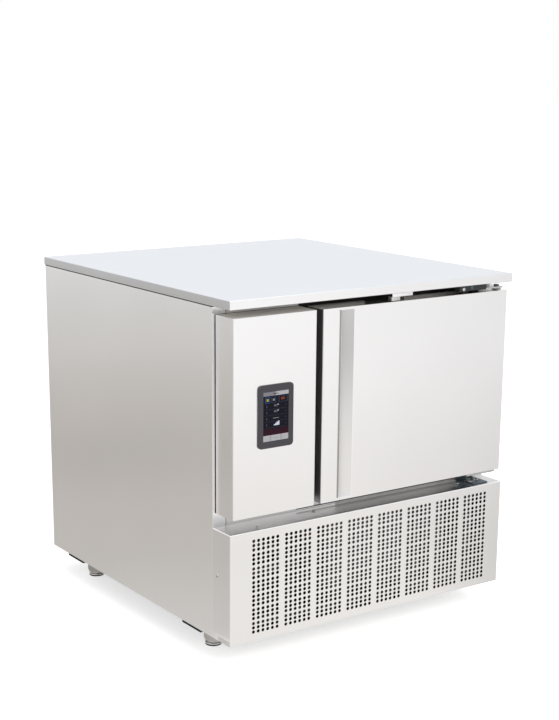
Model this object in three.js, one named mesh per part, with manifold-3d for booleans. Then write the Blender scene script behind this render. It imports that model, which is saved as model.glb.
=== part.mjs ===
// Blast chiller for an undercounter place. A stainless cabinet holds a foamed chamber for five
// trays, with a hinged insulated door, a control box beside the door and, below them, a
// refrigeration unit behind a perforated grille. Millimetres, +Z up, front towards -Y, origin on
// the floor at the middle of the worktop's outline.
import * as THREE from 'three';
import { mergeVertices } from 'three/addons/utils/BufferGeometryUtils.js';
import Module from 'manifold-3d';

const wasm = await Module();
wasm.setup();

// ------------------------------------------------------------------ general sizes
const SHEET = 1.2; // stainless sheet of every folded panel
const CLEARANCE = 0.3; // between pieces that seat on each other
const THROUGH = 5; // how far a cutting tool runs past the face it opens
const WELD = 1e-4; // corners nearer than this are one corner
const FILLET_STEPS = 3;
const ROUND_SIDES = 16;
const SMALL_SIDES = 10;

// ------------------------------------------------------------------ cabinet
const FOOT_HEIGHT = 53; // floor to the base channels
const CHANNEL_HEIGHT = 7;
const CHANNEL_WIDTH = 80;
const CHANNEL_WALL = 1.5;
const CHANNEL_SHORTER = 2; // each end of a channel stays this far inside the side panel's face
const FRONT_CHANNEL_BACK = 96; // channel centre behind the cabinet's front plane
const REAR_CHANNEL_FORWARD = 122; // channel centre in front of the cabinet's back
const MACHINE_HEIGHT = 258; // bay of the refrigeration unit
const CABINET_WIDTH = 794;
const CABINET_DEPTH = 792;
const STANDOFF = 70; // door, control box and grille faces in front of the cabinet's front plane
const SIDE_FRONT_FLANGE = 34;
const SIDE_REAR_FLANGE = 20;
const BACK_RECESS = 12; // back panel inside the side panels' rear flanges
const WORKTOP_THICKNESS = 20;
const WORKTOP_OVERHANG_SIDE = 3;
const WORKTOP_OVERHANG_FRONT = 4; // beyond the door's face
const WORKTOP_LIP = 15; // folded in under the worktop's edge
const BASE_PAN_UPSTAND = 20;

// ------------------------------------------------------------------ chamber
const SIDE_WALL = 51; // foam and skins beside the chamber
const BACK_WALL = 48;
const DECK_WALL = 60; // under the chamber
const ROOF_WALL = 45;
const BAY_FRONT_WALL = 60; // in front of the evaporator bay, behind the control box
const BAY_WIDTH = 224; // evaporator bay, from the left wall to the opening
const OPENING_HEIGHT = 387;
const FRAME_RETURN = 25; // front frame folded back into the opening
const COVE = 18; // hygienic radius in the liner's corners
const COVE_STEPS = 2;
const DRAIN_RADIUS = 12;
const DRAIN_WALL = 2;
const DRAIN_FLANGE = 6; // flange beyond the spigot

// ------------------------------------------------------------------ door
const DOOR_THICKNESS = 58;
const DOOR_LAP_LEFT = 32; // door beyond the chamber's opening
const DOOR_LAP_BOTTOM = 28;
const DOOR_LAP_TOP = 26;
const DOOR_SIDE_MARGIN = 7.5; // door and control box inside the side panels' outer faces
const DOOR_EDGE_RADIUS = 4;
const GRIP_WIDTH = 44; // strip between the door's left edge and the pull
const GRIP_LIP = 12; // undercut behind the strip, where the fingers hook
const PULL_DEPTH = 20;
const PULL_WIDTH = 42; // mouth of the pull in the door's face
const PULL_FLOOR = 20; // flat floor right of the strip
const PULL_END = 6; // closed ends above and below the pull
const PULL_RADIUS = 4;
const PIVOT_FROM_EDGE = 13.5; // hinge axis from the door's right edge
const PIVOT_FROM_FACE = 25; // hinge axis behind the door's face
const PIN_RADIUS = 4;
const PIN_LENGTH_IN_DOOR = 14;
const PIN_HEAD = 3;
const PIN_HEAD_RADIUS = 6.4;
const BUSH_RADIUS = 8;
const BUSH_DEPTH = 16;
const BUSH_FLANGE = 2;
const BUSH_FLANGE_RADIUS = 11;
const BUSH_PLAY = 0.3;
const GASKET_WIDTH = 18;
const GASKET_EDGE = 9; // gasket inside the door's edge
const GASKET_BASE = 3.5;
const GASKET_WAIST = 4;
const LINER_PAN = 8; // pressed panel inside the gasket
const LINER_PAN_EDGE = 12;
const HINGE_PLATE = 4;
const HINGE_LENGTH = 90;
const HINGE_END = 6; // bracket's end inside the door's right edge
const HINGE_NOSE = 14; // bracket beyond the hinge axis
const HINGE_LEG_TOP = 14;
const HINGE_LEG_BOTTOM = 16;
const HINGE_GAP = 4; // bracket to door

// ------------------------------------------------------------------ control box
const CONTROL_GAP = 17; // between control box and door
const CONTROL_EDGE_RADIUS = 3;
const BEZEL_WIDTH = 92;
const BEZEL_HEIGHT = 140;
const BEZEL_PROUD = 3;
const BEZEL_RADIUS = 8;
const BEZEL_DEPTH = 22; // display housing behind the cover
const BEZEL_FRAME = 13; // around the glass at the sides
const BEZEL_FRAME_TALL = 15.5; // above and below the glass
const BEZEL_LAP = 6; // frame beyond the cover's opening
const HOUSING_WALL = 2;
const GLASS_THICKNESS = 2;
const GLASS_RECESS = 0.5; // glass behind the frame's face
const GLASS_SEAT = 4; // ledge behind the glass's edges
const DISPLAY_BOARD = 1.6;
const BOARD_BEHIND = 6; // board behind the glass
const POWER_BOARD_WIDTH = 130;
const POWER_BOARD_HEIGHT = 100;
const POWER_BOARD_PLATE = 2;
const POWER_PART_DEPTH = 22; // transformer in front of the plate
const TRANSFORMER = 36;
const RELAYS = 4;
const RELAY_WIDTH = 15;
const RELAY_HEIGHT = 28;
const RELAY_DEPTH = 14;
const RELAY_PITCH = 20;
const PART_MARGIN = 10; // relays and transformer inside the plate's edge

// ------------------------------------------------------------------ grille
const GRILLE_RADIUS = 3;
const GRILLE_RETURN = 60; // lower edge folded back
const GRILLE_SHIFT = 5; // perforation's centre right of the panel's centre
const HOLE_WIDTH = 7;
const HOLE_ROW_PITCH = 10;
const ROWS_A_SET = 3;
const SETS = 7;
const SET_PITCH = 32;
const HOLE_COLUMN_PITCH = 12.8;
const COLUMNS_A_GROUP = 6;
const GROUPS = 8;
const GROUP_PITCH = 88;
const RAIL_DEPTH = 34; // angle under the grille's top flange
const RAIL_HEIGHT = 26;
const RAIL_SHEET = 2;

// ------------------------------------------------------------------ feet
const FOOT_INSET = 62; // foot's axis from the side panel's face
const SLEEVE_RADIUS = 22.5;
const SLEEVE_NECK_RADIUS = 20;
const SLEEVE_TAPER = 6;
const SLEEVE_HEIGHT = 42;
const STEM_RADIUS = 6;
const STEM_LENGTH = 30; // up into the sleeve
const STEM_HEADROOM = 4; // above the stem inside the sleeve
const PAD_RADIUS = 19.5;
const PAD_HEIGHT = 8;
const PAD_COLLAR_RADIUS = 15;
const PAD_EDGE = 1; // chamfer of the pad's lower edge
const PAD_SHOULDER = 2;
const FOOT_PLAY = 0.3;

// ------------------------------------------------------------------ air circulation
const FANS = 2;
const FAN_PITCH = 290;
const FAN_RADIUS = 112;
const FAN_HUB_RADIUS = 32;
const FAN_HUB_LENGTH = 34;
const FAN_HUB_CHAMFER = 6;
const FAN_BLADES = 5;
const BLADE_THICKNESS = 2;
const BLADE_ROOT = 4; // blade's root inside the hub
const BLADE_PITCH = 28; // degrees
const FAN_PORT_CLEARANCE = 8; // port in the fan panel around the blades
const FAN_MOTOR_RADIUS = 36;
const FAN_MOTOR_LENGTH = 50;
const FAN_MOTOR_CHAMFER = 5;
const FAN_SHAFT_RADIUS = 5;
const FAN_SHAFT_IN_HUB = 20;
const FAN_SHAFT_PLAY = 0.3;
const FAN_MOTOR_GAP = 6; // hub to motor
const FAN_SETBACK = 6; // hub behind the fan panel
const STRAP_WIDTH = 18;
const STRAP_THICKNESS = 2.5;
const FAN_PANEL_GAP = 6; // fan panel clear of the coves, where the air returns
const FAN_PANEL_FOLD = 12;
const GUARD_RINGS = 3;
const GUARD_WIRE = 3;
const COIL_DEPTH = 70; // evaporator coil along the air's way
const COIL_LENGTH = 480;
const COIL_HEIGHT = 330;
const COIL_GAP = 12; // coil to the bay's left wall
const FIN_GROOVES = 12;
const FIN_GROOVE_DEPTH = 9;
const FIN_PLATE = 3;

// ------------------------------------------------------------------ tray racks
const RACK_LEVELS = 5;
const RACK_PITCH = 68;
const RACK_FIRST = 46; // first runner above the chamber's floor
const RACK_LENGTH = 600;
const RACK_FROM_FRONT = 40; // rack behind the cabinet's front plane
const RACK_SHEET = 1.5;
const RUNNER_LEDGE = 24;
const RUNNER_HEIGHT = 14;
const UPRIGHT_WIDTH = 26;
const UPRIGHT_ABOVE = 6; // upright beyond the top runner
const RUNNER_STEP = 8; // ledge's root out from the upright

// ------------------------------------------------------------------ refrigeration unit
const CONDENSER_WIDTH = 360;
const CONDENSER_HEIGHT = 214;
const CONDENSER_DEPTH = 44;
const CONDENSER_RIGHT = 277; // centre, in from the cabinet's right side
const CONDENSER_BACK = 26; // behind the cabinet's front plane
const SHROUD_DEPTH = 50;
const CONDENSER_FAN_RADIUS = 96;
const CONDENSER_HUB_LENGTH = 28;
const CONDENSER_MOTOR_LENGTH = 60;
const CONDENSER_FAN_BACK = 18; // hub's back behind the shroud
const COMPRESSOR_RADIUS = 88;
const COMPRESSOR_HEIGHT = 196;
const COMPRESSOR_BACK = 395; // centre behind the cabinet's front plane
const COMPRESSOR_PLATE = 3;
const COMPRESSOR_PLATE_RADIUS = 14;
const COMPRESSOR_SEAM = 3; // welded seam around the shell
const COMPRESSOR_BASE = 12; // shell's lower curve above the plate
const MOUNT_RADIUS = 9;
const MOUNT_ABOVE = 4; // mounts' heads above the plate
const COMPRESSOR_FOOT = 10; // rubber mounts under the plate
const STUB_OFFSET = 40; // pipe stubs from the compressor's axis, along X and Y
const STUB_RISE = 6; // stubs above the dome
const RECEIVER_RADIUS = 45;
const RECEIVER_HEIGHT = 120;
const RECEIVER_FOOT_CURVE = 10;
const RECEIVER_DOME = 18;
const RECEIVER_RIGHT = 65.5; // receiver and drier, right of the evaporator coil's middle
const RECEIVER_BACK = 600;
const DRIER_RADIUS = 24;
const DRIER_HEIGHT = 84;
const DRIER_NECK = 8;
const DRIER_CONE = 18; // drier's end, neck and cone together
const SOCKET_WALL = 1; // around a pipe at a stub or a neck
const PIPE_RADIUS = 6;
const SUCTION_RADIUS = 9;
const PIPE_SIDES = 6;
const PIPE_STEPS = 16;
const PIPE_STUB = 20; // straight end of a pipe, square to what it meets
const SUCTION_BACK = 470;
const TRAY_WIDTH = 160; // condensate tray, under the chamber's drain
const TRAY_DEPTH = 200;
const TRAY_HEIGHT = 40;
const TRAY_WALL = 2;
const TRAY_GAP = 9; // condensate tray to the compressor's seam
const DRAIN_FORWARD = 43; // drain and tray, in front of the compressor's axis
const LOUVRE_COLUMNS = 3;
const LOUVRE_ROWS = 3;
const LOUVRE_WIDTH = 150;
const LOUVRE_COLUMN_PITCH = 200;
const LOUVRE_ROW_PITCH = 44;
const LOUVRE_HEIGHT = 16;
const LOUVRE_PROUD = 7;
const LOUVRE_FIRST = 60; // lowest louvre above the cabinet's lower edge
const GLAND_RADIUS = 12;
const GLAND_LENGTH = 10;
const GLAND_FROM_SIDE = 60;
const GLAND_UP = 40;
const GLAND_BORE = 5;
const GLAND_WALL = 2;

// ------------------------------------------------------------------ finishes
const FINISHES = {
  worktop: { color: 0xe6eaef, roughness: 0.22, metalness: 0.9 },
  satin: { color: 0xe2e0dd, roughness: 0.3, metalness: 0.9 },
  side: { color: 0xc4c2be, roughness: 0.34, metalness: 0.9 },
  bright: { color: 0xd8d8d8, roughness: 0.18, metalness: 1.0 },
  galvanised: { color: 0xb4b8b8, roughness: 0.5, metalness: 0.8 },
  foam: { color: 0xe0cf9a, roughness: 0.9, metalness: 0.0 },
  gasket: { color: 0x3c3d3f, roughness: 0.7, metalness: 0.0 },
  rubber: { color: 0x1c1c1d, roughness: 0.8, metalness: 0.0 },
  blackPlastic: { color: 0x2c2c2f, roughness: 0.5, metalness: 0.0 },
  bezel: { color: 0x4b4a4e, roughness: 0.45, metalness: 0.1 },
  glass: { color: 0x12131c, roughness: 0.08, metalness: 0.0 },
  board: { color: 0x1f5a3a, roughness: 0.6, metalness: 0.0 },
  fins: { color: 0xa9adb0, roughness: 0.45, metalness: 0.9 },
  copper: { color: 0xb87347, roughness: 0.35, metalness: 1.0 },
  enamel: { color: 0x1d1e20, roughness: 0.35, metalness: 0.3 },
  nylon: { color: 0xd9d7cf, roughness: 0.55, metalness: 0.0 },
};

// ------------------------------------------------------------------ derived places
const WORKTOP_WIDTH = CABINET_WIDTH + 2 * WORKTOP_OVERHANG_SIDE;
const WORKTOP_DEPTH = CABINET_DEPTH + STANDOFF + WORKTOP_OVERHANG_FRONT;
const X_SIDE = CABINET_WIDTH / 2;
const Y_BACK = WORKTOP_DEPTH / 2;
const Y_FRONT = Y_BACK - CABINET_DEPTH;
const Y_FACE = Y_FRONT - STANDOFF;
const Z_BODY = FOOT_HEIGHT + CHANNEL_HEIGHT;
const Z_DECK = Z_BODY + MACHINE_HEIGHT;
const Z_FLOOR = Z_DECK + DECK_WALL;
const Z_CEILING = Z_FLOOR + OPENING_HEIGHT;
const Z_TOP = Z_CEILING + ROOF_WALL;
const Y_BACK_PANEL = Y_BACK - BACK_RECESS;
const BAY_LEFT = SIDE_WALL - X_SIDE;
const OPENING = {
  left: BAY_LEFT + BAY_WIDTH,
  right: X_SIDE - SIDE_WALL,
  low: Z_FLOOR,
  high: Z_CEILING,
};
const Y_BAY_FRONT = Y_FRONT + BAY_FRONT_WALL;
const Y_CHAMBER_BACK = Y_BACK_PANEL - BACK_WALL;
const DOOR = {
  left: OPENING.left - DOOR_LAP_LEFT,
  right: X_SIDE - DOOR_SIDE_MARGIN,
  low: Z_FLOOR - DOOR_LAP_BOTTOM,
  high: Z_CEILING + DOOR_LAP_TOP,
  front: Y_FACE,
  back: Y_FACE + DOOR_THICKNESS,
};
const CONTROL = {
  left: DOOR_SIDE_MARGIN - X_SIDE,
  right: DOOR.left - CONTROL_GAP,
  low: DOOR.low,
  high: DOOR.high,
};
const LINER_WALL = SHEET + CLEARANCE; // liner's inner face from the opening's edge
const CHAMBER_HEIGHT = OPENING_HEIGHT - 2 * LINER_WALL;
const FAN_PANEL_X = OPENING.left + LINER_WALL + CLEARANCE;

// ------------------------------------------------------------------ solids
function toSolid(geometry) {
  const bare = new THREE.BufferGeometry();
  bare.setAttribute('position', geometry.getAttribute('position').clone());
  if (geometry.index) bare.setIndex(geometry.index.clone());
  const merged = mergeVertices(bare, WELD);
  const corners = Array.from(merged.index.array);
  const kept = [];
  for (let i = 0; i < corners.length; i += 3) {
    const [a, b, c] = corners.slice(i, i + 3);
    if (a !== b && b !== c && c !== a) kept.push(a, b, c);
  }
  return new wasm.Manifold(new wasm.Mesh({
    numProp: 3,
    vertProperties: new Float32Array(merged.getAttribute('position').array),
    triVerts: new Uint32Array(kept),
  }));
}

function toGeometry(solid) {
  const mesh = solid.getMesh();
  const geometry = new THREE.BufferGeometry();
  geometry.setAttribute('position', new THREE.BufferAttribute(mesh.vertProperties, 3));
  geometry.setIndex(new THREE.BufferAttribute(mesh.triVerts, 1));
  return geometry;
}

function join(...geometries) {
  return toGeometry(geometries.map(toSolid).reduce((whole, next) => whole.add(next)));
}

function cut(geometry, ...tools) {
  return toGeometry(tools.map(toSolid).reduce((whole, tool) => whole.subtract(tool), toSolid(geometry)));
}

// A box between two limits along each axis.
function block([x0, x1], [y0, y1], [z0, z1]) {
  const geometry = new THREE.BoxGeometry(x1 - x0, y1 - y0, z1 - z0);
  geometry.translate((x0 + x1) / 2, (y0 + y1) / 2, (z0 + z1) / 2);
  return geometry;
}

// Corner points [x, y, radius] as an outline; a corner with a radius becomes an arc.
function outline(corners, steps = FILLET_STEPS) {
  const points = [];
  corners.forEach(([x, y, radius = 0], i) => {
    const here = new THREE.Vector2(x, y);
    if (radius === 0) {
      points.push(here);
      return;
    }
    const [beforeX, beforeY] = corners[(i + corners.length - 1) % corners.length];
    const [afterX, afterY] = corners[(i + 1) % corners.length];
    const toBefore = new THREE.Vector2(beforeX - x, beforeY - y).normalize();
    const toAfter = new THREE.Vector2(afterX - x, afterY - y).normalize();
    const halfAngle = Math.acos(toBefore.dot(toAfter)) / 2;
    const reach = radius / Math.tan(halfAngle);
    const start = here.clone().addScaledVector(toBefore, reach);
    const end = here.clone().addScaledVector(toAfter, reach);
    const towards = toBefore.clone().add(toAfter).normalize();
    const centre = here.clone().addScaledVector(towards, radius / Math.sin(halfAngle));
    const from = start.clone().sub(centre).angle();
    let sweep = end.clone().sub(centre).angle() - from;
    if (sweep > Math.PI) sweep -= 2 * Math.PI;
    if (sweep < -Math.PI) sweep += 2 * Math.PI;
    for (let k = 0; k <= steps; k += 1) {
      const angle = from + (sweep * k) / steps;
      points.push(new THREE.Vector2(
        centre.x + radius * Math.cos(angle),
        centre.y + radius * Math.sin(angle),
      ));
    }
  });
  return points;
}

function rectangle([x0, x1], [y0, y1], radius = 0) {
  return outline([[x0, y0, radius], [x1, y0, radius], [x1, y1, radius], [x0, y1, radius]]);
}

function extruded(points, length, holes) {
  const shape = new THREE.Shape(points);
  holes.forEach((hole) => shape.holes.push(new THREE.Path(hole)));
  return new THREE.ExtrudeGeometry(shape, { depth: length, bevelEnabled: false });
}

// An outline in X and Y, run up from one height to another.
function prismZ(points, [z0, z1], holes = []) {
  const geometry = extruded(points, z1 - z0, holes);
  geometry.translate(0, 0, z0);
  return geometry;
}

// An outline in X and Z, run back from one depth to another.
function prismY(points, [y0, y1], holes = []) {
  const geometry = extruded(points, y1 - y0, holes);
  geometry.rotateX(Math.PI / 2);
  geometry.translate(0, y1, 0);
  return geometry;
}

// An outline in Y and Z, run right from one side to another.
function prismX(points, [x0, x1], holes = []) {
  const geometry = extruded(points, x1 - x0, holes);
  geometry.applyMatrix4(new THREE.Matrix4().makeBasis(
    new THREE.Vector3(0, 1, 0),
    new THREE.Vector3(0, 0, 1),
    new THREE.Vector3(1, 0, 0),
  ));
  geometry.translate(x0, 0, 0);
  return geometry;
}

function circle(radius, sides, [x, y] = [0, 0]) {
  const points = [];
  for (let i = 0; i < sides; i += 1) {
    const angle = (2 * Math.PI * i) / sides;
    points.push(new THREE.Vector2(x + radius * Math.cos(angle), y + radius * Math.sin(angle)));
  }
  return points;
}

// A round hole whose flats stay outside the given radius, so that what it holds fits at any turn.
function bore(radius, sides, centre) {
  return circle(radius / Math.cos(Math.PI / sides), sides, centre);
}

// A profile of [radius, height] points, listed upwards, turned about the Z axis.
function turned(profile, sides = ROUND_SIDES) {
  const points = profile.map(([radius, height]) => new THREE.Vector2(radius, height));
  const geometry = new THREE.LatheGeometry(points, sides);
  geometry.rotateX(Math.PI / 2);
  return geometry;
}

// A round bar or pipe along a path of corners, each corner rounded by the curve.
function pipe(points, radius) {
  const path = new THREE.CatmullRomCurve3(points, false, 'centripetal');
  return new THREE.ExtrudeGeometry(new THREE.Shape(circle(radius, PIPE_SIDES)), {
    steps: PIPE_STEPS,
    extrudePath: path,
    bevelEnabled: false,
  });
}

const at = (x, y, z) => new THREE.Vector3(x, y, z);

function place(parent, name, geometry, finish) {
  const mesh = new THREE.Mesh(geometry, new THREE.MeshStandardMaterial(FINISHES[finish]));
  mesh.name = name;
  mesh.material.name = finish;
  parent.add(mesh);
  return mesh;
}

function groupAt(parent, x, y, z) {
  const group = new THREE.Group();
  group.position.set(x, y, z);
  parent.add(group);
  return group;
}

// ------------------------------------------------------------------ cabinet pieces
// The worktop's edge is folded down and in under itself, so its rim is closed from below.
function worktopSkin() {
  const x = WORKTOP_WIDTH / 2;
  const y = WORKTOP_DEPTH / 2;
  const mouthX = x - SHEET - WORKTOP_LIP;
  const mouthY = y - SHEET - WORKTOP_LIP;
  return cut(
    block([-x, x], [-y, y], [0, WORKTOP_THICKNESS]),
    block([SHEET - x, x - SHEET], [SHEET - y, y - SHEET], [SHEET, WORKTOP_THICKNESS - SHEET]),
    block([-mouthX, mouthX], [-mouthY, mouthY], [-THROUGH, 2 * SHEET]),
  );
}

function worktopCore() {
  const x = WORKTOP_WIDTH / 2 - SHEET - CLEARANCE;
  const y = WORKTOP_DEPTH / 2 - SHEET - CLEARANCE;
  return block([-x, x], [-y, y], [SHEET + CLEARANCE, WORKTOP_THICKNESS - SHEET - CLEARANCE]);
}

// One folded sheet: outer face, front flange beside the front frame and rear flange.
function sidePanel(side) {
  const points = [
    [X_SIDE, Y_FRONT],
    [X_SIDE, Y_BACK],
    [X_SIDE - SIDE_REAR_FLANGE, Y_BACK],
    [X_SIDE - SIDE_REAR_FLANGE, Y_BACK - SHEET],
    [X_SIDE - SHEET, Y_BACK - SHEET],
    [X_SIDE - SHEET, Y_FRONT + SHEET],
    [X_SIDE - SIDE_FRONT_FLANGE, Y_FRONT + SHEET],
    [X_SIDE - SIDE_FRONT_FLANGE, Y_FRONT],
  ];
  return prismZ(outline(points.map(([x, y]) => [side * x, y])), [Z_BODY, Z_TOP]);
}

const X_INNER = X_SIDE - SHEET - CLEARANCE; // inner faces of the side panels, less a clearance
const Y_INNER_FRONT = Y_FRONT + SHEET + CLEARANCE;
const Y_INNER_BACK = Y_BACK_PANEL - SHEET - CLEARANCE;

// The front frame stands around the chamber's mouth and is folded back into it.
function frontFrame() {
  const x = X_SIDE - SIDE_FRONT_FLANGE - CLEARANCE;
  const mouth = rectangle([OPENING.left, OPENING.right], [OPENING.low, OPENING.high]);
  const collar = rectangle(
    [OPENING.left - SHEET, OPENING.right + SHEET],
    [OPENING.low - SHEET, OPENING.high + SHEET],
  );
  return join(
    prismY(rectangle([-x, x], [Z_DECK, Z_TOP]), [Y_FRONT, Y_FRONT + SHEET], [mouth]),
    prismY(collar, [Y_FRONT, Y_FRONT + FRAME_RETURN], [mouth]),
  );
}

// The chamber with the evaporator bay on its left, open to the front beside the bay.
function chamberPlan(grow, front) {
  return [
    [BAY_LEFT - grow, Y_BAY_FRONT - grow],
    [OPENING.left - grow, Y_BAY_FRONT - grow],
    [OPENING.left - grow, front],
    [OPENING.right + grow, front],
    [OPENING.right + grow, Y_CHAMBER_BACK + grow],
    [BAY_LEFT - grow, Y_CHAMBER_BACK + grow],
  ];
}

function foamBody() {
  const collar = SHEET + CLEARANCE;
  const cavity = prismZ(outline(chamberPlan(0, Y_FRONT - THROUGH)), [OPENING.low, OPENING.high]);
  const mouth = block(
    [OPENING.left - collar, OPENING.right + collar],
    [Y_FRONT - THROUGH, Y_FRONT + FRAME_RETURN + CLEARANCE],
    [OPENING.low - collar, OPENING.high + collar],
  );
  const shell = block([-X_INNER, X_INNER], [Y_INNER_FRONT, Y_INNER_BACK], [Z_DECK, Z_TOP]);
  return cut(shell, cavity, mouth, ...floorHoles(CLEARANCE));
}

// Holes down through the chamber's floor: the drain, the liquid pipe and the suction pipe.
function floorHoles(room) {
  const span = [Z_DECK - THROUGH, Z_FLOOR + THROUGH];
  return [
    [drainCentre, DRAIN_RADIUS + room],
    [liquidRiser, PIPE_RADIUS + room],
    [suctionRiser, SUCTION_RADIUS + room],
  ].map(([centre, radius]) => prismZ(bore(radius, SMALL_SIDES, centre), span));
}

// The liner is pressed in one piece, with coved corners that can be wiped clean.
function covedChamber(thickness) {
  const reach = COVE - thickness;
  const inset = COVE + CLEARANCE;
  const contour = outline(chamberPlan(-inset, Y_FRONT - THROUGH - COVE).map(([x, y], i) => (
    i === 1 ? [x, y] : [x, y, 1]
  )), COVE_STEPS);
  const geometry = new THREE.ExtrudeGeometry(new THREE.Shape(contour), {
    depth: OPENING_HEIGHT - 2 * inset,
    bevelThickness: reach,
    bevelSize: reach,
    bevelSegments: COVE_STEPS,
  });
  geometry.translate(0, 0, Z_FLOOR + inset);
  return geometry;
}

function chamberLiner() {
  const front = block(
    [-X_SIDE, X_SIDE],
    [Y_FRONT - 3 * COVE, Y_FRONT + SHEET],
    [Z_DECK, Z_TOP],
  );
  return cut(covedChamber(0), covedChamber(SHEET), front, ...floorHoles(CLEARANCE));
}

// The spigot hangs by its flange from the chamber's floor and ends over the condensate tray.
function drainSpigot() {
  const flange = DRAIN_RADIUS + DRAIN_FLANGE;
  const top = Z_FLOOR + LINER_WALL + CLEARANCE;
  const low = Z_BODY + TRAY_HEIGHT + 2 * TRAY_WALL;
  const inner = DRAIN_RADIUS - DRAIN_WALL;
  const geometry = turned([
    [inner, low],
    [DRAIN_RADIUS, low],
    [DRAIN_RADIUS, top],
    [flange, top],
    [flange, top + DRAIN_WALL],
    [inner, top + DRAIN_WALL],
    [inner, low],
  ], SMALL_SIDES);
  geometry.translate(drainCentre[0], drainCentre[1], 0);
  return geometry;
}

// Louvres over the machine bay: each is a hood pressed out of the sheet, open below.
function backPanel() {
  const x = X_INNER;
  const low = Z_BODY + SHEET + CLEARANCE;
  const sheet = block([-x, x], [Y_BACK_PANEL - SHEET, Y_BACK_PANEL], [low, Z_TOP]);
  const hoods = [];
  const mouths = [];
  for (let column = 0; column < LOUVRE_COLUMNS; column += 1) {
    const centre = (column - (LOUVRE_COLUMNS - 1) / 2) * LOUVRE_COLUMN_PITCH;
    const span = [centre - LOUVRE_WIDTH / 2, centre + LOUVRE_WIDTH / 2];
    for (let row = 0; row < LOUVRE_ROWS; row += 1) {
      const z = Z_BODY + LOUVRE_FIRST + row * LOUVRE_ROW_PITCH;
      const inside = Y_BACK_PANEL - SHEET / 2;
      const wedge = (proud, top) => outline([[inside, z], [Y_BACK_PANEL + proud, z], [inside, top]]);
      hoods.push(prismX(wedge(LOUVRE_PROUD, z + LOUVRE_HEIGHT), span));
      mouths.push(prismX(
        outline([
          [Y_BACK_PANEL - THROUGH, z - SHEET],
          [Y_BACK_PANEL + LOUVRE_PROUD - 2 * SHEET, z - SHEET],
          [Y_BACK_PANEL - SHEET, z + LOUVRE_HEIGHT - 2 * SHEET],
          [Y_BACK_PANEL - THROUGH, z + LOUVRE_HEIGHT - 2 * SHEET],
        ]),
        [span[0] + SHEET, span[1] - SHEET],
      ));
    }
  }
  const glandHole = prismY(
    bore(GLAND_BORE + GLAND_WALL + CLEARANCE, SMALL_SIDES, glandCentre),
    [Y_BACK_PANEL - THROUGH, Y_BACK_PANEL + THROUGH],
  );
  return cut(join(sheet, ...hoods), ...mouths, glandHole);
}

const glandCentre = [X_SIDE - GLAND_FROM_SIDE, Z_BODY + GLAND_UP];

// The gland where a supply cable enters: a six-sided nut on a collar that passes the panel.
function cableGland() {
  const collar = GLAND_BORE + GLAND_WALL;
  const geometry = cut(
    join(
      prismZ(circle(GLAND_RADIUS, 6), [0, GLAND_LENGTH]),
      prismZ(circle(collar, SMALL_SIDES), [-2 * THROUGH, GLAND_LENGTH / 2]),
    ),
    prismZ(circle(GLAND_BORE, SMALL_SIDES), [-3 * THROUGH, GLAND_LENGTH + THROUGH]),
  );
  geometry.rotateX(-Math.PI / 2);
  geometry.translate(glandCentre[0], Y_BACK_PANEL + CLEARANCE, glandCentre[1]);
  return geometry;
}

function basePan() {
  const front = Y_FRONT + SHEET + CLEARANCE;
  const back = Y_INNER_BACK;
  return cut(
    block([-X_INNER, X_INNER], [front, back], [Z_BODY, Z_BODY + BASE_PAN_UPSTAND]),
    block(
      [SHEET - X_INNER, X_INNER - SHEET],
      [front + SHEET, back - SHEET],
      [Z_BODY + SHEET, Z_BODY + BASE_PAN_UPSTAND + THROUGH],
    ),
  );
}

const CHANNEL_CENTRES = {
  front: Y_FRONT + FRONT_CHANNEL_BACK,
  rear: Y_BACK - REAR_CHANNEL_FORWARD,
};

// A flat box channel across the cabinet, open at both ends.
function baseChannel(centre) {
  const half = CHANNEL_WIDTH / 2;
  const x = X_SIDE - CHANNEL_SHORTER;
  return prismX(
    rectangle([centre - half, centre + half], [FOOT_HEIGHT, Z_BODY]),
    [-x, x],
    [rectangle(
      [centre - half + CHANNEL_WALL, centre + half - CHANNEL_WALL],
      [FOOT_HEIGHT + CHANNEL_WALL, Z_BODY - CHANNEL_WALL],
    )],
  );
}

// ------------------------------------------------------------------ feet
function footSleeve() {
  const low = FOOT_HEIGHT - SLEEVE_HEIGHT;
  const inner = STEM_RADIUS + FOOT_PLAY;
  const ceiling = PAD_HEIGHT + STEM_LENGTH + STEM_HEADROOM;
  return turned([
    [inner, low],
    [SLEEVE_NECK_RADIUS, low],
    [SLEEVE_RADIUS, low + SLEEVE_TAPER],
    [SLEEVE_RADIUS, FOOT_HEIGHT],
    [0, FOOT_HEIGHT],
    [0, ceiling],
    [inner, ceiling],
    [inner, low],
  ]);
}

function footPad() {
  const collar = FOOT_HEIGHT - SLEEVE_HEIGHT - FOOT_PLAY;
  return turned([
    [0, 0],
    [PAD_RADIUS - PAD_EDGE, 0],
    [PAD_RADIUS, PAD_EDGE],
    [PAD_RADIUS, PAD_HEIGHT - PAD_SHOULDER],
    [PAD_COLLAR_RADIUS, PAD_HEIGHT],
    [PAD_COLLAR_RADIUS, collar],
    [STEM_RADIUS, collar],
    [STEM_RADIUS, PAD_HEIGHT + STEM_LENGTH],
    [0, PAD_HEIGHT + STEM_LENGTH],
  ]);
}

// ------------------------------------------------------------------ door, about its hinge axis
const PIVOT = { x: DOOR.right - PIVOT_FROM_EDGE, y: DOOR.front + PIVOT_FROM_FACE };
const LEAF = {
  left: DOOR.left - PIVOT.x,
  right: DOOR.right - PIVOT.x,
  front: DOOR.front - PIVOT.y,
  back: DOOR.back - PIVOT.y,
};

function leafPlan(inset) {
  const radius = Math.max(DOOR_EDGE_RADIUS - inset, 0);
  return outline([
    [LEAF.left + inset, LEAF.front + inset, radius],
    [LEAF.right - inset, LEAF.front + inset, radius],
    [LEAF.right - inset, LEAF.back],
    [LEAF.left + inset, LEAF.back],
  ]);
}

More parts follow.
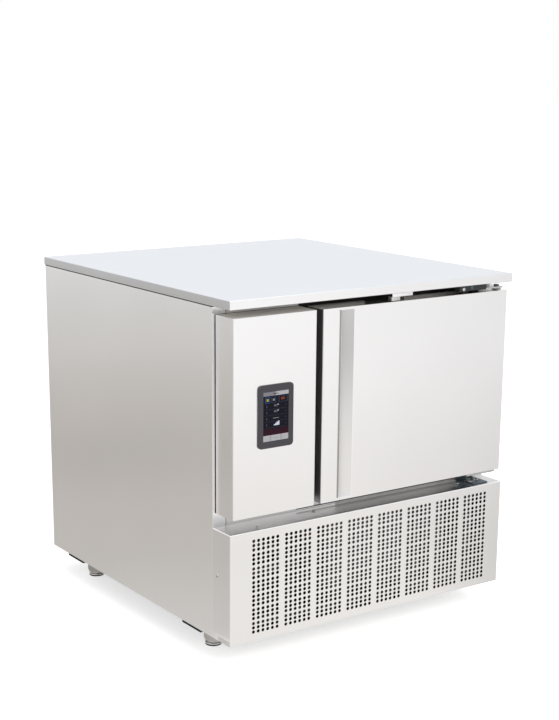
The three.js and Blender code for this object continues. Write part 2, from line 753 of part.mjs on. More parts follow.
// The pull is a full-height groove: it runs behind the hemmed edge of the grip strip, where the
// fingers hook, and slopes out to the right.
function pullGroove(grow) {
  const strip = LEAF.left + GRIP_WIDTH;
  const face = LEAF.front;
  const floor = face + PULL_DEPTH + grow;
  const slope = (PULL_WIDTH - PULL_FLOOR) / PULL_DEPTH;
  const radius = PULL_RADIUS + grow;
  const hem = face + 2 * SHEET - grow;
  return prismZ(outline([
    [strip - grow, face - THROUGH],
    [strip - grow, hem],
    [strip - GRIP_LIP - grow, hem],
    [strip - GRIP_LIP - grow, floor, radius],
    [strip + PULL_FLOOR + grow / 2, floor, radius],
    [strip + PULL_WIDTH + grow + slope * THROUGH, face - THROUGH],
  ]), [DOOR.low + PULL_END - grow, DOOR.high - PULL_END + grow]);
}

function doorSkin() {
  const inner = prismZ(leafPlan(SHEET), [DOOR.low + SHEET, DOOR.high - SHEET]);
  const behind = block(
    [LEAF.left + SHEET, LEAF.right - SHEET],
    [LEAF.back - THROUGH, LEAF.back + THROUGH],
    [DOOR.low + SHEET, DOOR.high - SHEET],
  );
  const room = cut(inner, pullGroove(SHEET));
  const bushes = [DOOR.low, DOOR.high].map((z) => (
    prismZ(bore(BUSH_RADIUS + CLEARANCE, ROUND_SIDES), [z - THROUGH, z + THROUGH])
  ));
  return cut(
    prismZ(leafPlan(0), [DOOR.low, DOOR.high]),
    pullGroove(0),
    room,
    behind,
    ...bushes,
  );
}

const LEAF_LINER = LEAF.back - SHEET; // door liner's inner face

function doorCore() {
  const inset = SHEET + CLEARANCE;
  const body = prismZ(outline([
    [LEAF.left + inset, LEAF.front + inset, DOOR_EDGE_RADIUS - inset],
    [LEAF.right - inset, LEAF.front + inset, DOOR_EDGE_RADIUS - inset],
    [LEAF.right - inset, LEAF_LINER - CLEARANCE],
    [LEAF.left + inset, LEAF_LINER - CLEARANCE],
  ]), [DOOR.low + inset, DOOR.high - inset]);
  const depth = BUSH_DEPTH + CLEARANCE;
  const sockets = [[DOOR.low - THROUGH, DOOR.low + depth], [DOOR.high - depth, DOOR.high + THROUGH]];
  return cut(
    body,
    pullGroove(inset),
    ...sockets.map((span) => prismZ(bore(BUSH_RADIUS + CLEARANCE, ROUND_SIDES), span)),
  );
}

const GASKET_DEPTH = Y_FRONT - DOOR.back - 2 * CLEARANCE; // between door liner and front frame
const GASKET_OUTER = {
  left: LEAF.left + GASKET_EDGE,
  right: -GASKET_EDGE / 2,
  low: DOOR.low + GASKET_EDGE,
  high: DOOR.high - GASKET_EDGE,
};

function gasketOutline(inset) {
  return rectangle(
    [GASKET_OUTER.left + inset, GASKET_OUTER.right - inset],
    [GASKET_OUTER.low + inset, GASKET_OUTER.high - inset],
  );
}

// Flat base, narrow bellows and the wider strip that holds the magnet.
function doorGasket() {
  const start = LEAF.back + CLEARANCE;
  const ring = (inset, from, to) => (
    prismY(gasketOutline(inset), [from, to], [gasketOutline(GASKET_WIDTH - inset)])
  );
  return join(
    ring(0, start, start + GASKET_BASE),
    ring(GASKET_WAIST, start, start + GASKET_DEPTH),
    ring(0, start + GASKET_DEPTH - GASKET_BASE, start + GASKET_DEPTH),
  );
}

// The inner panel closes the door's back; its middle is pressed out inside the gasket.
function doorLiner() {
  const edge = SHEET + CLEARANCE;
  const inside = GASKET_WIDTH + LINER_PAN_EDGE;
  const pan = LEAF.back + LINER_PAN;
  const panOutline = (inset) => rectangle(
    [GASKET_OUTER.left + inset, GASKET_OUTER.right - inset],
    [GASKET_OUTER.low + inset, GASKET_OUTER.high - inset],
    COVE,
  );
  const plate = block(
    [LEAF.left + edge, LEAF.right - edge],
    [LEAF_LINER, LEAF.back],
    [DOOR.low + edge, DOOR.high - edge],
  );
  return cut(
    join(plate, prismY(panOutline(inside), [LEAF_LINER, pan])),
    prismY(panOutline(inside + SHEET), [LEAF_LINER - THROUGH, pan - SHEET]),
  );
}

// A nylon bush lines each end of the hinge; up is +1 at the door's top and -1 at its bottom.
function hingeBush(up) {
  const inner = PIN_RADIUS + BUSH_PLAY;
  const geometry = turned([
    [0, -BUSH_DEPTH],
    [BUSH_RADIUS, -BUSH_DEPTH],
    [BUSH_RADIUS, CLEARANCE],
    [BUSH_FLANGE_RADIUS, CLEARANCE],
    [BUSH_FLANGE_RADIUS, BUSH_FLANGE],
    [inner, BUSH_FLANGE],
    [inner, -PIN_LENGTH_IN_DOOR - BUSH_PLAY],
    [0, -PIN_LENGTH_IN_DOOR - BUSH_PLAY],
  ]);
  if (up < 0) geometry.rotateX(Math.PI);
  geometry.translate(0, 0, up > 0 ? DOOR.high : DOOR.low);
  return geometry;
}

// The bracket is an angle on the front frame whose flat leg carries the pin past the door's end.
function hingeBracket(up) {
  const face = up > 0 ? DOOR.high : DOOR.low;
  const leg = up > 0 ? HINGE_LEG_TOP : HINGE_LEG_BOTTOM;
  const near = face + up * HINGE_GAP;
  const wall = Y_FRONT - CLEARANCE;
  const nose = PIVOT.y - HINGE_NOSE;
  const right = DOOR.right - HINGE_END;
  const geometry = prismX(outline([
    [nose, near],
    [wall, near],
    [wall, near + up * leg],
    [wall - HINGE_PLATE, near + up * leg],
    [wall - HINGE_PLATE, near + up * HINGE_PLATE],
    [nose, near + up * HINGE_PLATE],
  ]), [right - HINGE_LENGTH, right]);
  const middle = near + (up * HINGE_PLATE) / 2;
  const hole = prismZ(
    bore(PIN_RADIUS + CLEARANCE, SMALL_SIDES, [PIVOT.x, PIVOT.y]),
    [middle - HINGE_PLATE, middle + HINGE_PLATE],
  );
  return cut(geometry, hole);
}

function hingePin(up) {
  const face = up > 0 ? DOOR.high : DOOR.low;
  const head = HINGE_GAP + HINGE_PLATE + CLEARANCE;
  const geometry = turned([
    [0, -PIN_LENGTH_IN_DOOR],
    [PIN_RADIUS, -PIN_LENGTH_IN_DOOR],
    [PIN_RADIUS, head],
    [PIN_HEAD_RADIUS, head],
    [PIN_HEAD_RADIUS, head + PIN_HEAD],
    [0, head + PIN_HEAD],
  ]);
  if (up < 0) geometry.rotateX(Math.PI);
  geometry.translate(PIVOT.x, PIVOT.y, face);
  return geometry;
}

// ------------------------------------------------------------------ control box
const DISPLAY = {
  x: (CONTROL.left + CONTROL.right) / 2,
  z: (CONTROL.low + CONTROL.high) / 2,
};

function boxPlan(left, right, inset, radius, back) {
  return outline([
    [left + inset, Y_FACE + inset, Math.max(radius - inset, 0)],
    [right - inset, Y_FACE + inset, Math.max(radius - inset, 0)],
    [right - inset, back],
    [left + inset, back],
  ]);
}

function displayFrame(inX, inZ, radius = 0) {
  const halfWidth = BEZEL_WIDTH / 2 - inX;
  const halfHeight = BEZEL_HEIGHT / 2 - inZ;
  return rectangle(
    [DISPLAY.x - halfWidth, DISPLAY.x + halfWidth],
    [DISPLAY.z - halfHeight, DISPLAY.z + halfHeight],
    radius,
  );
}

const displayOpening = (inside) => displayFrame(BEZEL_LAP + inside, BEZEL_LAP + inside);
const glassOutline = (inside) => displayFrame(BEZEL_FRAME + inside, BEZEL_FRAME_TALL + inside);

function controlCover() {
  const back = Y_FRONT - CLEARANCE;
  const radius = CONTROL_EDGE_RADIUS;
  return cut(
    prismZ(boxPlan(CONTROL.left, CONTROL.right, 0, radius, back), [CONTROL.low, CONTROL.high]),
    prismZ(
      boxPlan(CONTROL.left, CONTROL.right, SHEET, radius, back + THROUGH),
      [CONTROL.low + SHEET, CONTROL.high - SHEET],
    ),
    prismY(displayOpening(0), [Y_FACE - THROUGH, Y_FACE + THROUGH]),
  );
}

const BEZEL_FACE = Y_FACE - BEZEL_PROUD;
const GLASS_BACK = BEZEL_FACE + GLASS_RECESS + GLASS_THICKNESS;

// The display's housing: a frame in front of the cover with a tray for the board behind it.
function displayBezel() {
  const trayBack = Y_FACE + BEZEL_DEPTH;
  const frame = prismY(displayFrame(0, 0, BEZEL_RADIUS), [BEZEL_FACE, Y_FACE - CLEARANCE]);
  const tray = prismY(displayOpening(CLEARANCE), [BEZEL_FACE + GLASS_RECESS, trayBack]);
  const seat = GLASS_BACK + HOUSING_WALL;
  return cut(
    join(frame, tray),
    prismY(glassOutline(-CLEARANCE), [BEZEL_FACE - THROUGH, GLASS_BACK]),
    prismY(glassOutline(GLASS_SEAT), [BEZEL_FACE, seat + CLEARANCE]),
    prismY(displayOpening(CLEARANCE + HOUSING_WALL), [seat, trayBack - HOUSING_WALL]),
  );
}

function displayGlass() {
  return prismY(glassOutline(0), [BEZEL_FACE + GLASS_RECESS, GLASS_BACK - CLEARANCE]);
}

function displayBoard() {
  const front = GLASS_BACK + BOARD_BEHIND;
  return prismY(displayOpening(2 * CLEARANCE + HOUSING_WALL), [front, front + DISPLAY_BOARD]);
}

// Mounting plate with the relays and the transformer of the power stage.
function powerBoard() {
  const back = Y_FRONT - CLEARANCE;
  const left = DISPLAY.x - POWER_BOARD_WIDTH / 2;
  const right = DISPLAY.x + POWER_BOARD_WIDTH / 2;
  const low = DISPLAY.z - POWER_BOARD_HEIGHT / 2;
  const high = DISPLAY.z + POWER_BOARD_HEIGHT / 2;
  const plate = back - POWER_BOARD_PLATE;
  const inPlate = plate + POWER_BOARD_PLATE / 2;
  const parts = [block(
    [right - PART_MARGIN - TRANSFORMER, right - PART_MARGIN],
    [plate - POWER_PART_DEPTH, inPlate],
    [low + PART_MARGIN, low + PART_MARGIN + TRANSFORMER],
  )];
  for (let i = 0; i < RELAYS; i += 1) {
    const x = left + PART_MARGIN + i * RELAY_PITCH;
    parts.push(block(
      [x, x + RELAY_WIDTH],
      [plate - RELAY_DEPTH, inPlate],
      [high - PART_MARGIN - RELAY_HEIGHT, high - PART_MARGIN],
    ));
  }
  return join(block([left, right], [plate, back], [low, high]), ...parts);
}

// ------------------------------------------------------------------ grille
// A folded sheet in front of the machine bay: perforated face, top flange, side returns.
function grillePanel() {
  const back = Y_FRONT - CLEARANCE;
  const low = Z_BODY;
  const high = Z_DECK;
  const shell = cut(
    prismZ(boxPlan(-X_SIDE, X_SIDE, 0, GRILLE_RADIUS, back), [low, high]),
    prismZ(boxPlan(-X_SIDE, X_SIDE, SHEET, GRILLE_RADIUS, back + THROUGH), [low + SHEET, high - SHEET]),
    block(
      [-X_SIDE + SHEET, X_SIDE - SHEET],
      [Y_FACE + GRILLE_RETURN, back + THROUGH],
      [low - THROUGH, low + 2 * SHEET],
    ),
  );
  const slot = (ROWS_A_SET - 1) * HOLE_ROW_PITCH + HOLE_WIDTH;
  const middle = (low + high) / 2;
  const slots = [];
  for (let group = 0; group < GROUPS; group += 1) {
    for (let column = 0; column < COLUMNS_A_GROUP; column += 1) {
      const x = GRILLE_SHIFT + (group - (GROUPS - 1) / 2) * GROUP_PITCH
        + (column - (COLUMNS_A_GROUP - 1) / 2) * HOLE_COLUMN_PITCH;
      for (let set = 0; set < SETS; set += 1) {
        const z = middle + (set - (SETS - 1) / 2) * SET_PITCH;
        slots.push(block(
          [x - HOLE_WIDTH / 2, x + HOLE_WIDTH / 2],
          [Y_FACE - THROUGH, Y_FACE + THROUGH],
          [z - slot / 2, z + slot / 2],
        ));
      }
    }
  }
  return cut(shell, ...slots);
}

function grilleRail() {
  const back = Y_FRONT - CLEARANCE;
  const top = Z_DECK - SHEET - CLEARANCE;
  const x = X_SIDE - SHEET - CLEARANCE;
  return prismX(outline([
    [back, top],
    [back - RAIL_DEPTH, top],
    [back - RAIL_DEPTH, top - RAIL_SHEET],
    [back - RAIL_SHEET, top - RAIL_SHEET],
    [back - RAIL_SHEET, top - RAIL_HEIGHT],
    [back, top - RAIL_HEIGHT],
  ]), [-x, x]);
}

// ------------------------------------------------------------------ air circulation
const FAN_AXIS_Z = (Z_FLOOR + Z_CEILING) / 2;
const FAN_MIDDLE_Y = (Y_BAY_FRONT + Y_CHAMBER_BACK) / 2;
const fanCentres = Array.from({ length: FANS }, (_, i) => (
  FAN_MIDDLE_Y + (i - (FANS - 1) / 2) * FAN_PITCH
));

// Fan panel between evaporator bay and chamber, with one round port a fan.
function fanPanel() {
  const front = Y_BAY_FRONT - FAN_PANEL_FOLD;
  const back = Y_CHAMBER_BACK - COVE;
  const low = Z_FLOOR + LINER_WALL + COVE + FAN_PANEL_GAP;
  const high = Z_CEILING - LINER_WALL - COVE - FAN_PANEL_GAP;
  const port = FAN_RADIUS + FAN_PORT_CLEARANCE;
  const ports = fanCentres.map((y) => circle(port, ROUND_SIDES, [y, FAN_AXIS_Z]));
  const sheet = prismX(
    rectangle([front, back], [low, high]),
    [FAN_PANEL_X, FAN_PANEL_X + SHEET],
    ports,
  );
  const folded = [FAN_PANEL_X, FAN_PANEL_X + FAN_PANEL_FOLD];
  return join(
    sheet,
    block(folded, [front, back], [low, low + SHEET]),
    block(folded, [front, back], [high - SHEET, high]),
  );
}

// A wire guard over each port: rings on two crossed bars.
function fanGuard() {
  const rings = [];
  const outer = FAN_RADIUS + FAN_PORT_CLEARANCE + GUARD_WIRE;
  for (let i = 1; i <= GUARD_RINGS; i += 1) {
    const radius = (outer * i) / GUARD_RINGS;
    rings.push(prismX(
      circle(radius + GUARD_WIRE / 2, ROUND_SIDES),
      [0, GUARD_WIRE],
      [circle(radius - GUARD_WIRE / 2, ROUND_SIDES)],
    ));
  }
  const bar = (halfY, halfZ) => block([0, 1.5 * GUARD_WIRE], [-halfY, halfY], [-halfZ, halfZ]);
  return join(bar(outer, GUARD_WIRE / 2), bar(GUARD_WIRE / 2, outer), ...rings);
}

// An axial fan about +Z: hub with a blind bore behind, and pitched blades that widen outwards.
function axialFan(radius, length) {
  const hub = cut(
    turned([
      [0, 0],
      [FAN_HUB_RADIUS, 0],
      [FAN_HUB_RADIUS, length - FAN_HUB_CHAMFER],
      [FAN_HUB_RADIUS - FAN_HUB_CHAMFER, length],
      [0, length],
    ]),
    prismZ(
      bore(FAN_SHAFT_RADIUS + FAN_SHAFT_PLAY, SMALL_SIDES),
      [-THROUGH, FAN_SHAFT_IN_HUB + FAN_SHAFT_PLAY],
    ),
  );
  const root = FAN_HUB_RADIUS - BLADE_ROOT;
  const tip = 0.95 * radius;
  const blade = prismZ(outline([
    [root, -0.28 * radius],
    [tip, -0.3 * radius, 0.1 * radius],
    [tip, 0.28 * radius, 0.15 * radius],
    [root, 0.2 * radius],
  ]), [-BLADE_THICKNESS / 2, BLADE_THICKNESS / 2]);
  blade.rotateX(THREE.MathUtils.degToRad(BLADE_PITCH));
  blade.translate(0, 0, length / 2);
  const blades = Array.from({ length: FAN_BLADES }, (_, i) => (
    blade.clone().rotateZ((2 * Math.PI * i) / FAN_BLADES)
  ));
  return join(hub, ...blades);
}

// A fan motor behind its hub, about +Z, on a strap bent forward to the plate that carries it.
function fanMotor(length, reach, forward) {
  const radius = FAN_MOTOR_RADIUS;
  const edge = radius - FAN_MOTOR_CHAMFER;
  const tip = FAN_MOTOR_GAP + FAN_SHAFT_IN_HUB;
  const body = turned([
    [0, -length],
    [edge, -length],
    [radius, FAN_MOTOR_CHAMFER - length],
    [radius, -FAN_MOTOR_CHAMFER],
    [edge, 0],
    [FAN_SHAFT_RADIUS, 0],
    [FAN_SHAFT_RADIUS, tip],
    [0, tip],
  ]);
  const back = -length - STRAP_THICKNESS / 2;
  const front = back + STRAP_THICKNESS;
  const inner = reach - STRAP_THICKNESS;
  const strap = prismY(outline([
    [-reach, back],
    [reach, back],
    [reach, forward],
    [inner, forward],
    [inner, front],
    [-inner, front],
    [-inner, forward],
    [-reach, forward],
  ]), [-STRAP_WIDTH / 2, STRAP_WIDTH / 2]);
  return join(body, strap);
}

// A finned coil: the block's two faces are grooved between the fins.
function finnedCoil(length, depth, height) {
  const body = block([-length / 2, length / 2], [-depth / 2, depth / 2], [0, height]);
  const pitch = (length - 2 * FIN_PLATE) / FIN_GROOVES;
  const tools = [];
  for (let i = 0; i < FIN_GROOVES; i += 1) {
    const x = -length / 2 + FIN_PLATE + i * pitch;
    const span = [x + pitch / 4, x + (3 * pitch) / 4];
    const heights = [FIN_PLATE, height - FIN_PLATE];
    tools.push(block(span, [-depth / 2 - THROUGH, FIN_GROOVE_DEPTH - depth / 2], heights));
    tools.push(block(span, [depth / 2 - FIN_GROOVE_DEPTH, depth / 2 + THROUGH], heights));
  }
  return cut(body, ...tools);
}

const COIL_X = BAY_LEFT + LINER_WALL + COIL_GAP + COIL_DEPTH / 2;
const COIL_LOW = Z_FLOOR + LINER_WALL + (CHAMBER_HEIGHT - COIL_HEIGHT) / 2;

// ------------------------------------------------------------------ tray racks
// Two uprights with a row of ledges; side is +1 on the left wall and -1 on the right one.
function trayRack(side) {
  const floor = Z_FLOOR + LINER_WALL;
  const low = floor + COVE;
  const high = floor + RACK_FIRST + (RACK_LEVELS - 1) * RACK_PITCH + RUNNER_HEIGHT + UPRIGHT_ABOVE;
  const front = Y_FRONT + RACK_FROM_FRONT;
  const back = front + RACK_LENGTH;
  const reach = RUNNER_STEP + RUNNER_LEDGE;
  const inUpright = RACK_SHEET / 2;
  const web = inUpright + RACK_SHEET;
  const solids = [front, back - UPRIGHT_WIDTH].map((y) => (
    block([0, RACK_SHEET], [y, y + UPRIGHT_WIDTH], [low, high])
  ));
  for (let level = 0; level < RACK_LEVELS; level += 1) {
    const z = floor + RACK_FIRST + level * RACK_PITCH;
    solids.push(prismY(outline([
      [inUpright, z],
      [reach, z],
      [reach, z + RACK_SHEET],
      [web, z + RACK_SHEET],
      [web, z + RUNNER_HEIGHT],
      [inUpright, z + RUNNER_HEIGHT],
    ]), [front, back]));
  }
  const rack = join(...solids);
  return side > 0 ? rack : rack.rotateZ(Math.PI).translate(0, front + back, 0);
}

// ------------------------------------------------------------------ refrigeration unit
const liquidRiser = [COIL_X + RECEIVER_RIGHT, Y_FRONT + RECEIVER_BACK];
const suctionRiser = [COIL_X, Y_FRONT + SUCTION_BACK];
const PAN_FLOOR = Z_BODY + SHEET;
const CONDENSER = {
  x: X_SIDE - CONDENSER_RIGHT,
  y: Y_FRONT + CONDENSER_BACK + CONDENSER_DEPTH / 2,
  low: PAN_FLOOR + CLEARANCE,
  back: Y_FRONT + CONDENSER_BACK + CONDENSER_DEPTH,
};
CONDENSER.middle = CONDENSER.low + CONDENSER_HEIGHT / 2;
CONDENSER.left = CONDENSER.x - CONDENSER_WIDTH / 2;
const COMPRESSOR = {
  x: CONDENSER.x,
  y: Y_FRONT + COMPRESSOR_BACK,
  low: PAN_FLOOR + CLEARANCE,
};
const DRIER_LOW = PAN_FLOOR + CLEARANCE + RECEIVER_HEIGHT + CLEARANCE;
COMPRESSOR.stubTop = COMPRESSOR.low + COMPRESSOR_HEIGHT + STUB_RISE;
COMPRESSOR.discharge = [COMPRESSOR.x - STUB_OFFSET, COMPRESSOR.y - STUB_OFFSET];
COMPRESSOR.suction = [COMPRESSOR.x - STUB_OFFSET, COMPRESSOR.y + STUB_OFFSET];
COMPRESSOR.left = COMPRESSOR.x - COMPRESSOR_RADIUS - COMPRESSOR_SEAM;
const drainCentre = [COMPRESSOR.left - TRAY_GAP - TRAY_WIDTH / 2, COMPRESSOR.y - DRAIN_FORWARD];

// The shroud narrows the air from the coil to a round port for the fan.
function condenserShroud() {
  const front = CONDENSER.back + CLEARANCE;
  const x = CONDENSER_WIDTH / 2;
  const z = CONDENSER_HEIGHT / 2;
  const shell = cut(
    prismY(rectangle([-x, x], [-z, z], 2 * GRILLE_RADIUS), [front, front + SHROUD_DEPTH]),
    prismY(
      rectangle([SHEET - x, x - SHEET], [SHEET - z, z - SHEET], GRILLE_RADIUS),
      [front - THROUGH, front + SHROUD_DEPTH - SHEET],
    ),
    prismY(circle(CONDENSER_FAN_RADIUS + FAN_PORT_CLEARANCE / 2, ROUND_SIDES), [
      front,
      front + SHROUD_DEPTH + THROUGH,
    ]),
  );
  shell.translate(CONDENSER.x, 0, CONDENSER.middle);
  return shell;
}

// A hermetic compressor: a domed shell on a plate with four rubber mounts.
function compressorShell() {
  const r = COMPRESSOR_RADIUS;
  const h = COMPRESSOR_HEIGHT;
  const plateLow = COMPRESSOR_FOOT;
  const plateHigh = plateLow + COMPRESSOR_PLATE;
  const seam = r + COMPRESSOR_SEAM;
  const shell = turned([
    [0, plateLow],
    [0.8 * r, plateLow],
    [0.97 * r, plateHigh + COMPRESSOR_BASE],
    [r, 0.42 * h],
    [seam, 0.44 * h],
    [seam, 0.48 * h],
    [r, 0.5 * h],
    [0.97 * r, 0.78 * h],
    [0.82 * r, 0.92 * h],
    [0.5 * r, 0.985 * h],
    [0, h],
  ]);
  const plate = prismZ(rectangle([-r, r], [-r, r], COMPRESSOR_PLATE_RADIUS), [plateLow, plateHigh]);
  const corner = r - COMPRESSOR_PLATE_RADIUS;
  const mounts = [[-1, -1], [1, -1], [1, 1], [-1, 1]].map(([i, j]) => (
    prismZ(circle(MOUNT_RADIUS, SMALL_SIDES, [i * corner, j * corner]), [0, plateHigh + MOUNT_ABOVE])
  ));
  const stubs = [
    [-STUB_OFFSET, -STUB_OFFSET, PIPE_RADIUS],
    [-STUB_OFFSET, STUB_OFFSET, SUCTION_RADIUS],
  ].map(([x, y, radius]) => (
    prismZ(circle(radius + SOCKET_WALL, SMALL_SIDES, [x, y]), [h / 2, h + STUB_RISE])
  ));
  return join(shell, plate, ...mounts, ...stubs);
}

function receiver() {
  const r = RECEIVER_RADIUS;
  const h = RECEIVER_HEIGHT;
  return turned([
    [0, 0],
    [r - RECEIVER_FOOT_CURVE, 0],
    [r, RECEIVER_FOOT_CURVE],
    [r, h - RECEIVER_DOME],
    [0.7 * r, h - RECEIVER_DOME / 3],
    [0, h],
  ]);
}

function filterDrier() {
  const r = DRIER_RADIUS;
  const h = DRIER_HEIGHT;
  const neck = PIPE_RADIUS + SOCKET_WALL;
  return turned([
    [0, 0],
    [neck, 0],
    [neck, DRIER_NECK],
    [r, DRIER_CONE],
    [r, h - DRIER_CONE],
    [neck, h - DRIER_NECK],
    [neck, h],
    [0, h],
  ], SMALL_SIDES);
}

// Hot gas, from the compressor's dome forward over the shroud to the condenser's upper corner.
function dischargePipe() {
  const [x, y] = COMPRESSOR.discharge;
  const start = COMPRESSOR.stubTop + CLEARANCE;
  const end = CONDENSER.left - CLEARANCE;
  const z = CONDENSER.low + CONDENSER_HEIGHT - 2 * PIPE_STUB;
  const over = start + PIPE_STUB;
  return pipe([
    at(x, y, start),
    at(x, y, start + PIPE_STUB / 2),
    at(x - PIPE_STUB, y - PIPE_STUB, over),
    at(end - PIPE_STUB, (y + CONDENSER.y) / 2, over),
    at(end - 3 * PIPE_STUB, CONDENSER.y + 3 * PIPE_STUB, (over + z) / 2),
    at(end - 2 * PIPE_STUB, CONDENSER.y, z),
    at(end - PIPE_STUB, CONDENSER.y, z),
    at(end, CONDENSER.y, z),
  ], PIPE_RADIUS);
}

// Liquid, from the condenser's lower corner back to the receiver.
function receiverPipe() {
  const start = CONDENSER.left - CLEARANCE;
  const [x, y] = liquidRiser;
  const z = CONDENSER.low + 2 * PIPE_STUB;
  const end = y - RECEIVER_RADIUS - CLEARANCE;
  return pipe([
    at(start, CONDENSER.y, z),
    at(start - PIPE_STUB, CONDENSER.y, z),
    at(x + 2 * PIPE_STUB, CONDENSER.y + PIPE_STUB, z),
    at(x, CONDENSER.y + 4 * PIPE_STUB, z),
    at(x, end - 4 * PIPE_STUB, z),
    at(x, end, z),
  ], PIPE_RADIUS);
}

// Liquid, from the drier up through the deck and across to the evaporator coil.
function liquidPipe() {
  const [x, y] = liquidRiser;
  const start = DRIER_LOW + DRIER_HEIGHT + CLEARANCE;
  const end = COIL_X + COIL_DEPTH / 2 + CLEARANCE;
  const z = COIL_LOW + 2 * PIPE_STUB;
  return pipe([
    at(x, y, start),
    at(x, y, Z_FLOOR),
    at(x, y, z - PIPE_STUB),
    at((x + end) / 2, y, z),
    at(end, y, z),
  ], PIPE_RADIUS);
}

// Cold gas, from under the evaporator coil down through the deck and over to the compressor.
function suctionPipe() {
  const [x, y] = suctionRiser;
  const [endX, endY] = COMPRESSOR.suction;
  const end = COMPRESSOR.stubTop + CLEARANCE;
  const over = end + PIPE_STUB;
  return pipe([
    at(x, y, COIL_LOW - CLEARANCE),
    at(x, y, Z_DECK),
    at(x, y, Z_DECK - PIPE_STUB / 4),
    at(x + PIPE_STUB, y, over),
    at((x + endX) / 2, (y + endY) / 2, over),
    at(endX - PIPE_STUB, endY, over),
    at(endX, endY, end + PIPE_STUB / 2),
    at(endX, endY, end),
  ], SUCTION_RADIUS);
}

function condensateTray() {
  const x = TRAY_WIDTH / 2;
  const y = TRAY_DEPTH / 2;
  const tray = cut(
    block([-x, x], [-y, y], [0, TRAY_HEIGHT]),
    block(
      [TRAY_WALL - x, x - TRAY_WALL],
      [TRAY_WALL - y, y - TRAY_WALL],
      [TRAY_WALL, TRAY_HEIGHT + THROUGH],
    ),
  );
  tray.translate(drainCentre[0], drainCentre[1], PAN_FLOOR + CLEARANCE);
  return tray;
}

// ------------------------------------------------------------------ assembly
const chiller = new THREE.Group();

const worktop = groupAt(chiller, 0, 0, Z_TOP);
place(worktop, 'worktop_skin', worktopSkin(), 'worktop');
place(worktop, 'worktop_core', worktopCore(), 'nylon');

const cabinet = groupAt(chiller, 0, 0, 0);
place(cabinet, 'side_panel_left', sidePanel(-1), 'side');
place(cabinet, 'side_panel_right', sidePanel(1), 'side');
place(cabinet, 'front_frame', frontFrame(), 'satin');
place(cabinet, 'back_panel', backPanel(), 'galvanised');
place(cabinet, 'foam_body', foamBody(), 'foam');
place(cabinet, 'chamber_liner', chamberLiner(), 'satin');
place(cabinet, 'drain_spigot', drainSpigot(), 'nylon');
place(cabinet, 'base_pan', basePan(), 'galvanised');
place(cabinet, 'base_channel_front', baseChannel(CHANNEL_CENTRES.front), 'galvanised');
place(cabinet, 'base_channel_rear', baseChannel(CHANNEL_CENTRES.rear), 'galvanised');
place(cabinet, 'cable_gland', cableGland(), 'blackPlastic');

Object.entries(CHANNEL_CENTRES).forEach(([end, y]) => {
  [['left', -1], ['right', 1]].forEach(([side, sign]) => {
    const foot = groupAt(chiller, sign * (X_SIDE - FOOT_INSET), y, 0);
    place(foot, `foot_sleeve_${end}_${side}`, footSleeve(), 'bright');
    place(foot, `foot_pad_${end}_${side}`, footPad(), 'rubber');
  });
});

const door = groupAt(chiller, PIVOT.x, PIVOT.y, 0);
place(door, 'door_skin', doorSkin(), 'satin');
place(door, 'door_core', doorCore(), 'foam');
place(door, 'door_liner', doorLiner(), 'satin');
place(door, 'door_gasket', doorGasket(), 'gasket');
place(door, 'hinge_bush_top', hingeBush(1), 'nylon');
place(door, 'hinge_bush_bottom', hingeBush(-1), 'nylon');

place(cabinet, 'hinge_bracket_top', hingeBracket(1), 'bright');
place(cabinet, 'hinge_bracket_bottom', hingeBracket(-1), 'bright');
place(cabinet, 'hinge_pin_top', hingePin(1), 'bright');
place(cabinet, 'hinge_pin_bottom', hingePin(-1), 'bright');

const control = groupAt(chiller, 0, 0, 0);
place(control, 'control_cover', controlCover(), 'satin');
place(control, 'display_bezel', displayBezel(), 'bezel');
place(control, 'display_glass', displayGlass(), 'glass');
place(control, 'display_board', displayBoard(), 'board');
place(control, 'power_board', powerBoard(), 'board');

place(cabinet, 'grille_panel', grillePanel(), 'satin');
place(cabinet, 'grille_rail', grilleRail(), 'galvanised');

place(cabinet, 'fan_panel', fanPanel(), 'satin');
fanCentres.forEach((y, i) => {
  const guard = groupAt(chiller, FAN_PANEL_X + SHEET + CLEARANCE, y, FAN_AXIS_Z);
  place(guard, `fan_guard_${i + 1}`, fanGuard(), 'bright');
  const hubBack = FAN_PANEL_X - FAN_SETBACK - FAN_HUB_LENGTH;
  const fan = groupAt(chiller, hubBack, y, FAN_AXIS_Z);
  fan.rotation.y = Math.PI / 2;
  place(fan, `evaporator_fan_${i + 1}`, axialFan(FAN_RADIUS, FAN_HUB_LENGTH), 'blackPlastic');
  const reach = FAN_RADIUS + FAN_PORT_CLEARANCE + STRAP_WIDTH / 2;
  const forward = FAN_MOTOR_GAP + FAN_HUB_LENGTH + FAN_SETBACK - CLEARANCE;
  const mount = groupAt(fan, 0, 0, -FAN_MOTOR_GAP);
  place(mount, `evaporator_motor_${i + 1}`, fanMotor(FAN_MOTOR_LENGTH, reach, forward), 'enamel');
});

const evaporator = groupAt(chiller, COIL_X, FAN_MIDDLE_Y, COIL_LOW);
evaporator.rotation.z = Math.PI / 2;
place(evaporator, 'evaporator_coil', finnedCoil(COIL_LENGTH, COIL_DEPTH, COIL_HEIGHT), 'fins');

const leftRack = groupAt(chiller, FAN_PANEL_X + FAN_PANEL_FOLD + CLEARANCE, 0, 0);
place(leftRack, 'tray_rack_left', trayRack(1), 'bright');
const rightRack = groupAt(chiller, OPENING.right - LINER_WALL - CLEARANCE, 0, 0);
place(rightRack, 'tray_rack_right', trayRack(-1), 'bright');

const condenser = groupAt(chiller, CONDENSER.x, CONDENSER.y, CONDENSER.low);
const condenserBlock = finnedCoil(CONDENSER_WIDTH, CONDENSER_DEPTH, CONDENSER_HEIGHT);
place(condenser, 'condenser_coil', condenserBlock, 'fins');
place(chiller, 'condenser_shroud', condenserShroud(), 'galvanised');

